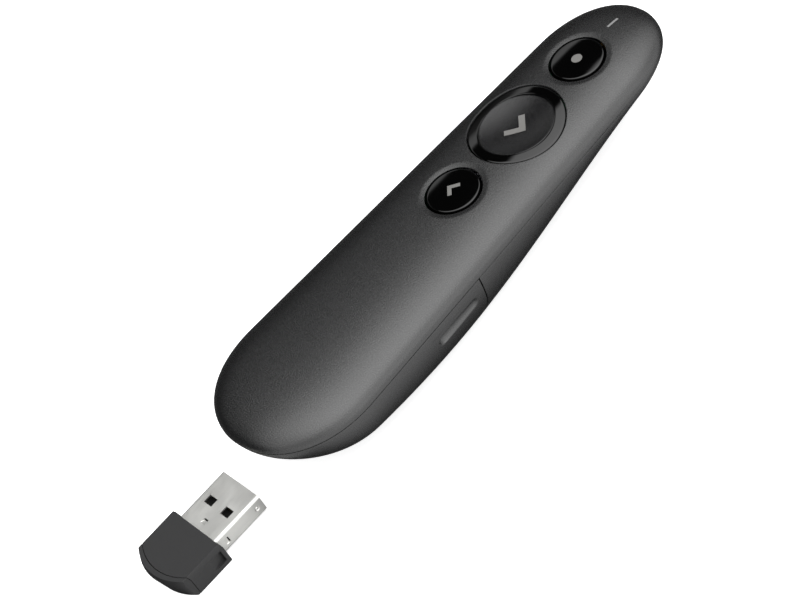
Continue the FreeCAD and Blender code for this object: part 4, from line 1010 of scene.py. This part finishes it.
class Nodes:
    """Short calls for making and linking nodes in a tree."""

    def __init__(self, tree):
        self.tree = tree

    def add(self, kind, operation=None, **values):
        node = self.tree.nodes.new(kind)
        if operation:
            node.operation = operation
        for name, value in values.items():
            setattr(node, name, value)
        return node

    def link(self, source, target):
        self.tree.links.new(source, target)

    def maths(self, operation, first, second):
        """Two values, or a value and a number, through one step of arithmetic."""
        node = self.add("ShaderNodeMath", operation)
        for socket, value in zip(node.inputs, (first, second)):
            if isinstance(value, (int, float)):
                socket.default_value = value
            else:
                self.link(value, socket)
        return node.outputs[0]

    def ramp(self, value, stops):
        """A grey level for a value, even between stops of place and level."""
        node = self.add("ShaderNodeValToRGB")
        points = node.color_ramp.elements
        points[0].position, points[1].position = stops[0][0], stops[-1][0]
        for spot, _ in stops[1:-1]:
            points.new(spot)
        for point, (_, level) in zip(points, stops):
            point.color = (level, level, level, 1)
        self.link(value, node.inputs[0])
        return node.outputs[0]

    def spread(self, value, ends, kind="SMOOTHSTEP"):
        """A value's range mapped onto another, with the ends that are given."""
        node = self.add("ShaderNodeMapRange", interpolation_type=kind)
        for label, end in ends:
            node.inputs[label].default_value = end
        self.link(value, node.inputs["Value"])
        return node.outputs[0]

    def noise(self, vector, scale, detail=2.0, roughness=0.5):
        node = self.add("ShaderNodeTexNoise")
        node.inputs["Detail"].default_value = detail
        node.inputs["Roughness"].default_value = roughness
        self.link(vector, node.inputs["Vector"])
        if isinstance(scale, (int, float)):
            node.inputs["Scale"].default_value = scale
        else:
            self.link(scale, node.inputs["Scale"])
        return node.outputs["Fac"]


def grain_group():
    """Moulded grain: fine noise speckles the colour and lifts the surface, broad noise shifts the gloss.

    Colour is the given colour times one plus the speckle; Roughness is the given one plus both noises' shares.
    """
    number, tint = "NodeSocketFloat", "NodeSocketColor"
    inputs = [("Colour", tint, (0.1, 0.1, 0.1, 1)), ("Scale", number, 6000.0), ("Speckle", number, 0.3),
              ("Roughness", number, 0.4), ("Roughness Spread", number, 0.1), ("Smudge", number, 0.04)]
    group, given, result = node_group("moulded_grain", inputs,
                                      [("Colour", tint), ("Roughness", number), ("Height", number)])
    if given is None:
        return group
    n = Nodes(group)
    place = n.add("ShaderNodeTexCoord").outputs["Object"]
    fine = n.noise(place, given.outputs["Scale"], 2.0, 0.6)
    broad = n.noise(place, 55.0, 3.0)
    centred = n.maths("SUBTRACT", fine, 0.5)
    smudge = n.maths("MULTIPLY", n.maths("SUBTRACT", broad, 0.5), given.outputs["Smudge"])
    lighter = n.maths("ADD", n.maths("MULTIPLY", centred, given.outputs["Speckle"]), 1.0)
    lighter = n.maths("ADD", lighter, smudge)
    scaled = n.add("ShaderNodeVectorMath", "SCALE")
    n.link(given.outputs["Colour"], scaled.inputs[0])
    n.link(lighter, scaled.inputs["Scale"])
    n.link(scaled.outputs[0], result.inputs["Colour"])
    spread = n.maths("MULTIPLY", centred, given.outputs["Roughness Spread"])
    rough = n.maths("ADD", n.maths("ADD", given.outputs["Roughness"], spread), smudge)
    n.link(rough, result.inputs["Roughness"])
    n.link(fine, result.inputs["Height"])
    return group


def brushed_group():
    """Drawn or plated metal: stretched noise streaks the colour and the gloss, broad noise clouds them."""
    number, tint, vector = "NodeSocketFloat", "NodeSocketColor", "NodeSocketVector"
    inputs = [("Colour", tint, (0.6, 0.6, 0.6, 1)), ("Stretch", vector, (4000.0, 300.0, 4000.0)),
              ("Streak", number, 0.2), ("Roughness", number, 0.3), ("Roughness Spread", number, 0.2)]
    group, given, result = node_group("brushed_metal", inputs,
                                      [("Colour", tint), ("Roughness", number), ("Height", number)])
    if given is None:
        return group
    n = Nodes(group)
    place = n.add("ShaderNodeTexCoord").outputs["Object"]
    stretched = n.add("ShaderNodeVectorMath", "MULTIPLY")
    n.link(place, stretched.inputs[0])
    n.link(given.outputs["Stretch"], stretched.inputs[1])
    streak = n.noise(stretched.outputs[0], 1.0, 3.0, 0.6)
    cloud = n.noise(place, 180.0, 2.0)
    both = n.maths("SUBTRACT", n.maths("ADD", streak, cloud), 1.0)
    lighter = n.maths("ADD", n.maths("MULTIPLY", both, given.outputs["Streak"]), 1.0)
    scaled = n.add("ShaderNodeVectorMath", "SCALE")
    n.link(given.outputs["Colour"], scaled.inputs[0])
    n.link(lighter, scaled.inputs["Scale"])
    n.link(scaled.outputs[0], result.inputs["Colour"])
    n.link(n.maths("ADD", given.outputs["Roughness"], n.maths("MULTIPLY", both, given.outputs["Roughness Spread"])),
           result.inputs["Roughness"])
    n.link(streak, result.inputs["Height"])
    return group


def made_material(name, group, values, relief, shader_values):
    """A material whose colour, roughness and relief come from a group, and the rest from the shader's own sockets."""
    if name in bpy.data.materials:
        return bpy.data.materials[name]
    material = bpy.data.materials.new(name)
    material.use_nodes = True
    n = Nodes(material.node_tree)
    shader = material.node_tree.nodes["Principled BSDF"]
    effect = n.add("ShaderNodeGroup", node_tree=group)
    for label, value in values.items():
        effect.inputs[label].default_value = value
    n.link(effect.outputs["Colour"], shader.inputs["Base Color"])
    n.link(effect.outputs["Roughness"], shader.inputs["Roughness"])
    bump = n.add("ShaderNodeBump")
    bump.inputs["Strength"].default_value = relief[0]
    bump.inputs["Distance"].default_value = relief[1] / 1000
    n.link(effect.outputs["Height"], bump.inputs["Height"])
    n.link(bump.outputs["Normal"], shader.inputs["Normal"])
    for label, value in shader_values.items():
        shader.inputs[label].default_value = value
    return material


def plastic(name, tint, scale, speckle, rough, spread, smudge=0.04, relief=(0.25, 0.02), **shader_values):
    values = {"Colour": (*tint, 1), "Scale": scale, "Speckle": speckle, "Roughness": rough,
              "Roughness Spread": spread, "Smudge": smudge}
    named = {label.replace("_", " "): value for label, value in shader_values.items()}
    return made_material(name, grain_group(), values, relief, named)


def metal(name, tint, rough, streak=0.2, stretch=(3000.0, 250.0, 3000.0), metallic=1.0, relief=(0.15, 0.01)):
    values = {"Colour": (*tint, 1), "Stretch": stretch, "Streak": streak, "Roughness": rough,
              "Roughness Spread": 0.18}
    return made_material(name, brushed_group(), values, relief, {"Metallic": metallic})


def finish(slot):
    """The material of one of the record's slots."""
    k = colours()
    makers = {
        "casing_graphite": lambda: plastic("graphite", k.casing, 4300, 0.55, 0.28, 0.3, 0.03, (1.0, 0.05), IOR=1.7),
        "button_black": lambda: plastic("gloss_black", k.button, 900, 0.2, 0.055, 0.02, 0.01, (0.02, 0.005)),
        "dish_satin": lambda: plastic("dish_black", k.dish, 3000, 0.9, 0.12, 0.15, 0.02, (1.0, 0.05)),
        "frame_black": lambda: plastic("inner_black", k.frame, 3000, 0.3, 0.6, 0.2),
        "cell_sleeve": lambda: metal("cell_film", k.sleeve, 0.32, 0.12, (400.0, 60.0, 400.0), 0.7),
        "contact_steel": lambda: metal("plain_steel", k.plain_steel, 0.3),
        "screw_steel": lambda: metal("dark_steel", k.screw, 0.34, 0.25, (2500.0, 2500.0, 300.0)),
        "board_green": lambda: plastic("green_lacquer", k.board, 2200, 0.35, 0.35, 0.15),
        "laser_brass": lambda: metal("barrel_brass", k.brass, 0.28),
        "led_white": lambda: plastic("diode_white", k.diode, 3000, 0.1, 0.35, 0.1),
        "light_pipe": lambda: plastic("light_bar", k.light, 2500, 0.15, 0.28, 0.1),
        "laser_window": lambda: plastic("window_red", k.window, 900, 0.2, 0.08, 0.03, 0.01, (0.02, 0.005)),
        "plug_steel": lambda: metal("nickel_plate", k.steel, 0.36, 0.1, (1500.0, 260.0, 1500.0), 0.85, (0.06, 0.01)),
        "tongue_black": lambda: plastic("tongue_plastic", k.tongue, 3000, 0.3, 0.45, 0.2),
        "contact_gold": lambda: metal("gilding", k.gold, 0.22, 0.12),
        "receiver_plastic": lambda: plastic("receiver_black", k.receiver, 4600, 0.5, 0.5, 0.25, 0.05, (0.3, 0.03)),
    }
    return makers[slot]()


def mark_finish():
    return plastic("mark_grey", colours().mark, 3600, 0.25, 0.5, 0.15, 0.03, (0.2, 0.01))


class CLICKER_OT_cad_finishes(bpy.types.Operator):
    """Gives every piece that the frame itself shows the finish of its slot"""

    bl_idname = "clicker.cad_finishes"
    bl_label = "Finishes of the frame's own pieces"

    def execute(self, context):
        slots = {row["node"]: row["material_slot"] for row in FRAME["record"]["subparts"]}
        for node, piece in FRAME["nodes"].items():
            made = finish(slots[node])
            if not piece.material_slots:
                raise RuntimeError(f"{node} has no material slot")
            for place in piece.material_slots:
                place.link = "OBJECT"
                place.material = made
        return {"FINISHED"}


# Stage
CAMERA_PLACE = (0.377279, -0.155138, 0.421219)
CAMERA_TURN = (39.84020, 22.31914, 43.56582)
CAMERA_LENS = 127.996
ROOM_STOPS = ((0.0, 0.01), (0.09, 0.02), (0.16, 0.15), (0.185, 0.85), (0.208, 1.0), (0.216, 0.01), (0.306, 0.01),
              (0.321, 1.9), (0.40, 2.5), (0.5, 3.3), (0.66, 3.5), (0.80, 2.0), (1.0, 2.5))
ROOM_ENDS = ((0.0, 0.4), (0.25, 0.55), (0.5, 1.0), (0.72, 1.0), (0.95, 0.45), (1.0, 0.45))
ROOM_STRENGTH = 4.0
FLOOR_LIFT, FLOOR_REACH = -0.02, 4000
FLOOR_GLOW = 0.62
FLOOR_CLOUDS = (("To Min", 0.96), ("To Max", 1.04))
# Where the floor's painted shade, seen only in reflections, lifts: beside the clicker on the right, and behind its
# tail right of the middle
FLOOR_BESIDE = (("From Min", 0.012), ("From Max", 0.040), ("To Min", 0.07), ("To Max", 1.0))
FLOOR_BEHIND = (("From Min", 0.047), ("From Max", 0.056), ("To Max", 0.6))
FLOOR_RIGHT = (("From Min", -0.001), ("From Max", 0.003))


class CLICKER_OT_stage(bpy.types.Operator):
    """The plain pale floor, the room's light and the camera"""

    bl_idname = "clicker.stage"
    bl_label = "Stage"

    def execute(self, context):
        self.floor()
        self.room(context.scene)
        camera = bpy.data.objects.new("camera", bpy.data.cameras.new("camera"))
        camera.location = CAMERA_PLACE
        camera.rotation_euler = [math.radians(turn) for turn in CAMERA_TURN]
        camera.data.lens, camera.data.sensor_width = CAMERA_LENS, 36.0
        camera.data.clip_start, camera.data.clip_end = 0.01, 50.0
        context.scene.collection.objects.link(camera)
        context.scene.camera = camera
        context.scene.view_settings.view_transform = "Standard"
        return {"FINISHED"}

    def floor(self):
        """A wide level sheet, white to the camera with its soft shadow kept.

        In reflections its colour is darkened under and left of the clicker: painted shade that stands in for the
        clicker's shadow on the floor. It grows pale to the right, and less so behind the tail.
        """
        line = np.linspace(-FLOOR_REACH, FLOOR_REACH, 9)
        x, y = np.meshgrid(line, line, indexing="ij")
        sheet = new_piece("floor", [grid_patch(np.stack([x, y, np.full_like(x, FLOOR_LIFT)], axis=-1))],
                          lambda points: points)
        if sheet.data.polygons[0].normal.z < 0:
            sheet.data.flip_normals()
        material = bpy.data.materials.new("pale_floor")
        material.use_nodes = True
        n = Nodes(material.node_tree)
        shader, output = (material.node_tree.nodes[name] for name in ("Principled BSDF", "Material Output"))
        place = n.add("ShaderNodeTexCoord").outputs["Object"]
        clouds = n.spread(n.noise(place, 3.0), FLOOR_CLOUDS, "LINEAR")
        scaled = n.add("ShaderNodeVectorMath", "SCALE")
        scaled.inputs[0].default_value = colours().floor
        n.link(clouds, scaled.inputs["Scale"])
        seen = n.add("ShaderNodeLightPath").outputs["Is Camera Ray"]
        apart = n.add("ShaderNodeSeparateXYZ")
        n.link(place, apart.inputs[0])
        # Painted shade: in reflections the floor's colour is darkened under and left of the clicker, and kept full
        # beside it on the right and behind the tail
        beside = n.spread(apart.outputs["X"], FLOOR_BESIDE)
        behind = n.spread(n.maths("MULTIPLY", apart.outputs["Y"], -1.0), FLOOR_BEHIND)
        right = n.spread(apart.outputs["X"], FLOOR_RIGHT)
        outside_painted_shade = n.maths("MAXIMUM", beside, n.maths("MULTIPLY", behind, right))
        reflected = n.add("ShaderNodeVectorMath", "SCALE")
        n.link(scaled.outputs[0], reflected.inputs[0])
        n.link(n.maths("MAXIMUM", outside_painted_shade, seen), reflected.inputs["Scale"])
        n.link(reflected.outputs[0], shader.inputs["Base Color"])
        shader.inputs["Roughness"].default_value = 0.9
        shader.inputs["Specular IOR Level"].default_value = 0.1
        white = n.add("ShaderNodeEmission")
        white.inputs["Strength"].default_value = FLOOR_GLOW
        both = n.add("ShaderNodeAddShader")
        n.link(shader.outputs[0], both.inputs[0])
        n.link(white.outputs[0], both.inputs[1])
        mix = n.add("ShaderNodeMixShader")
        n.link(seen, mix.inputs[0])
        n.link(shader.outputs[0], mix.inputs[1])
        n.link(both.outputs[0], mix.inputs[2])
        n.link(mix.outputs[0], output.inputs["Surface"])
        sheet.data.materials.append(material)

    def room(self, scene):
        """The room: long soft lights parallel to the clicker, by the direction's turn from the left horizon.

        Each stop is a share of the half turn over the top to the right horizon, and the light's strength there. The
        lights weaken lengthways, to the front and the back. The camera itself sees plain white.
        """
        world = bpy.data.worlds.new("room")
        world.use_nodes = True
        n = Nodes(world.node_tree)
        place = n.add("ShaderNodeTexCoord").outputs["Generated"]
        apart = n.add("ShaderNodeSeparateXYZ")
        n.link(place, apart.inputs[0])
        to_left = n.maths("MULTIPLY", apart.outputs["X"], -1.0)
        turn = n.maths("DIVIDE", n.maths("ARCTAN2", apart.outputs["Z"], to_left), math.pi)
        lights = n.ramp(turn, [(spot, level / ROOM_STRENGTH) for spot, level in ROOM_STOPS])
        lengthways = n.maths("MULTIPLY", n.maths("ADD", apart.outputs["Y"], 1.0), 0.5)
        lit, output = (world.node_tree.nodes[name] for name in ("Background", "World Output"))
        n.link(n.maths("MULTIPLY", lights, n.ramp(lengthways, ROOM_ENDS)), lit.inputs["Color"])
        lit.inputs["Strength"].default_value = ROOM_STRENGTH
        plain = n.add("ShaderNodeBackground")
        plain.inputs["Color"].default_value = (1, 1, 1, 1)
        mix = n.add("ShaderNodeMixShader")
        n.link(n.add("ShaderNodeLightPath").outputs["Is Camera Ray"], mix.inputs[0])
        n.link(lit.outputs[0], mix.inputs[1])
        n.link(plain.outputs[0], mix.inputs[2])
        n.link(mix.outputs[0], output.inputs["Surface"])
        scene.world = world


PROPERTIES = {"clicker_casing": ClickerCasing, "clicker_buttons": ClickerButtons,
              "clicker_receiver": ClickerReceiver, "clicker_colours": ClickerColours}
OPERATORS = (CLICKER_OT_stage, CLICKER_OT_top_cover, CLICKER_OT_lower_housing, CLICKER_OT_battery_cover,
             CLICKER_OT_small_buttons, CLICKER_OT_next_button, CLICKER_OT_plug_shell, CLICKER_OT_receiver_caps,
             CLICKER_OT_cad_finishes)


class CLICKER_PT_pieces(bpy.types.Panel):
    """Lists the operators that make the clicker"""

    bl_idname = "CLICKER_PT_pieces"
    bl_label = "Presentation clicker"
    bl_space_type = "VIEW_3D"
    bl_region_type = "UI"
    bl_category = "Clicker"

    def draw(self, context):
        for operator in OPERATORS:
            self.layout.operator(operator.bl_idname)


def register():
    for made in (*PROPERTIES.values(), *OPERATORS, CLICKER_PT_pieces):
        bpy.utils.register_class(made)
    for name, group in PROPERTIES.items():
        setattr(bpy.types.Scene, name, PointerProperty(type=group))


def unregister():
    for name in PROPERTIES:
        delattr(bpy.types.Scene, name)
    for made in (CLICKER_PT_pieces, *OPERATORS[::-1], *PROPERTIES.values()):
        bpy.utils.unregister_class(made)


def main():
    register()
    for operator in OPERATORS:
        category, name = operator.bl_idname.split(".")
        getattr(getattr(bpy.ops, category), name)()


if __name__ == "__main__":
    main()
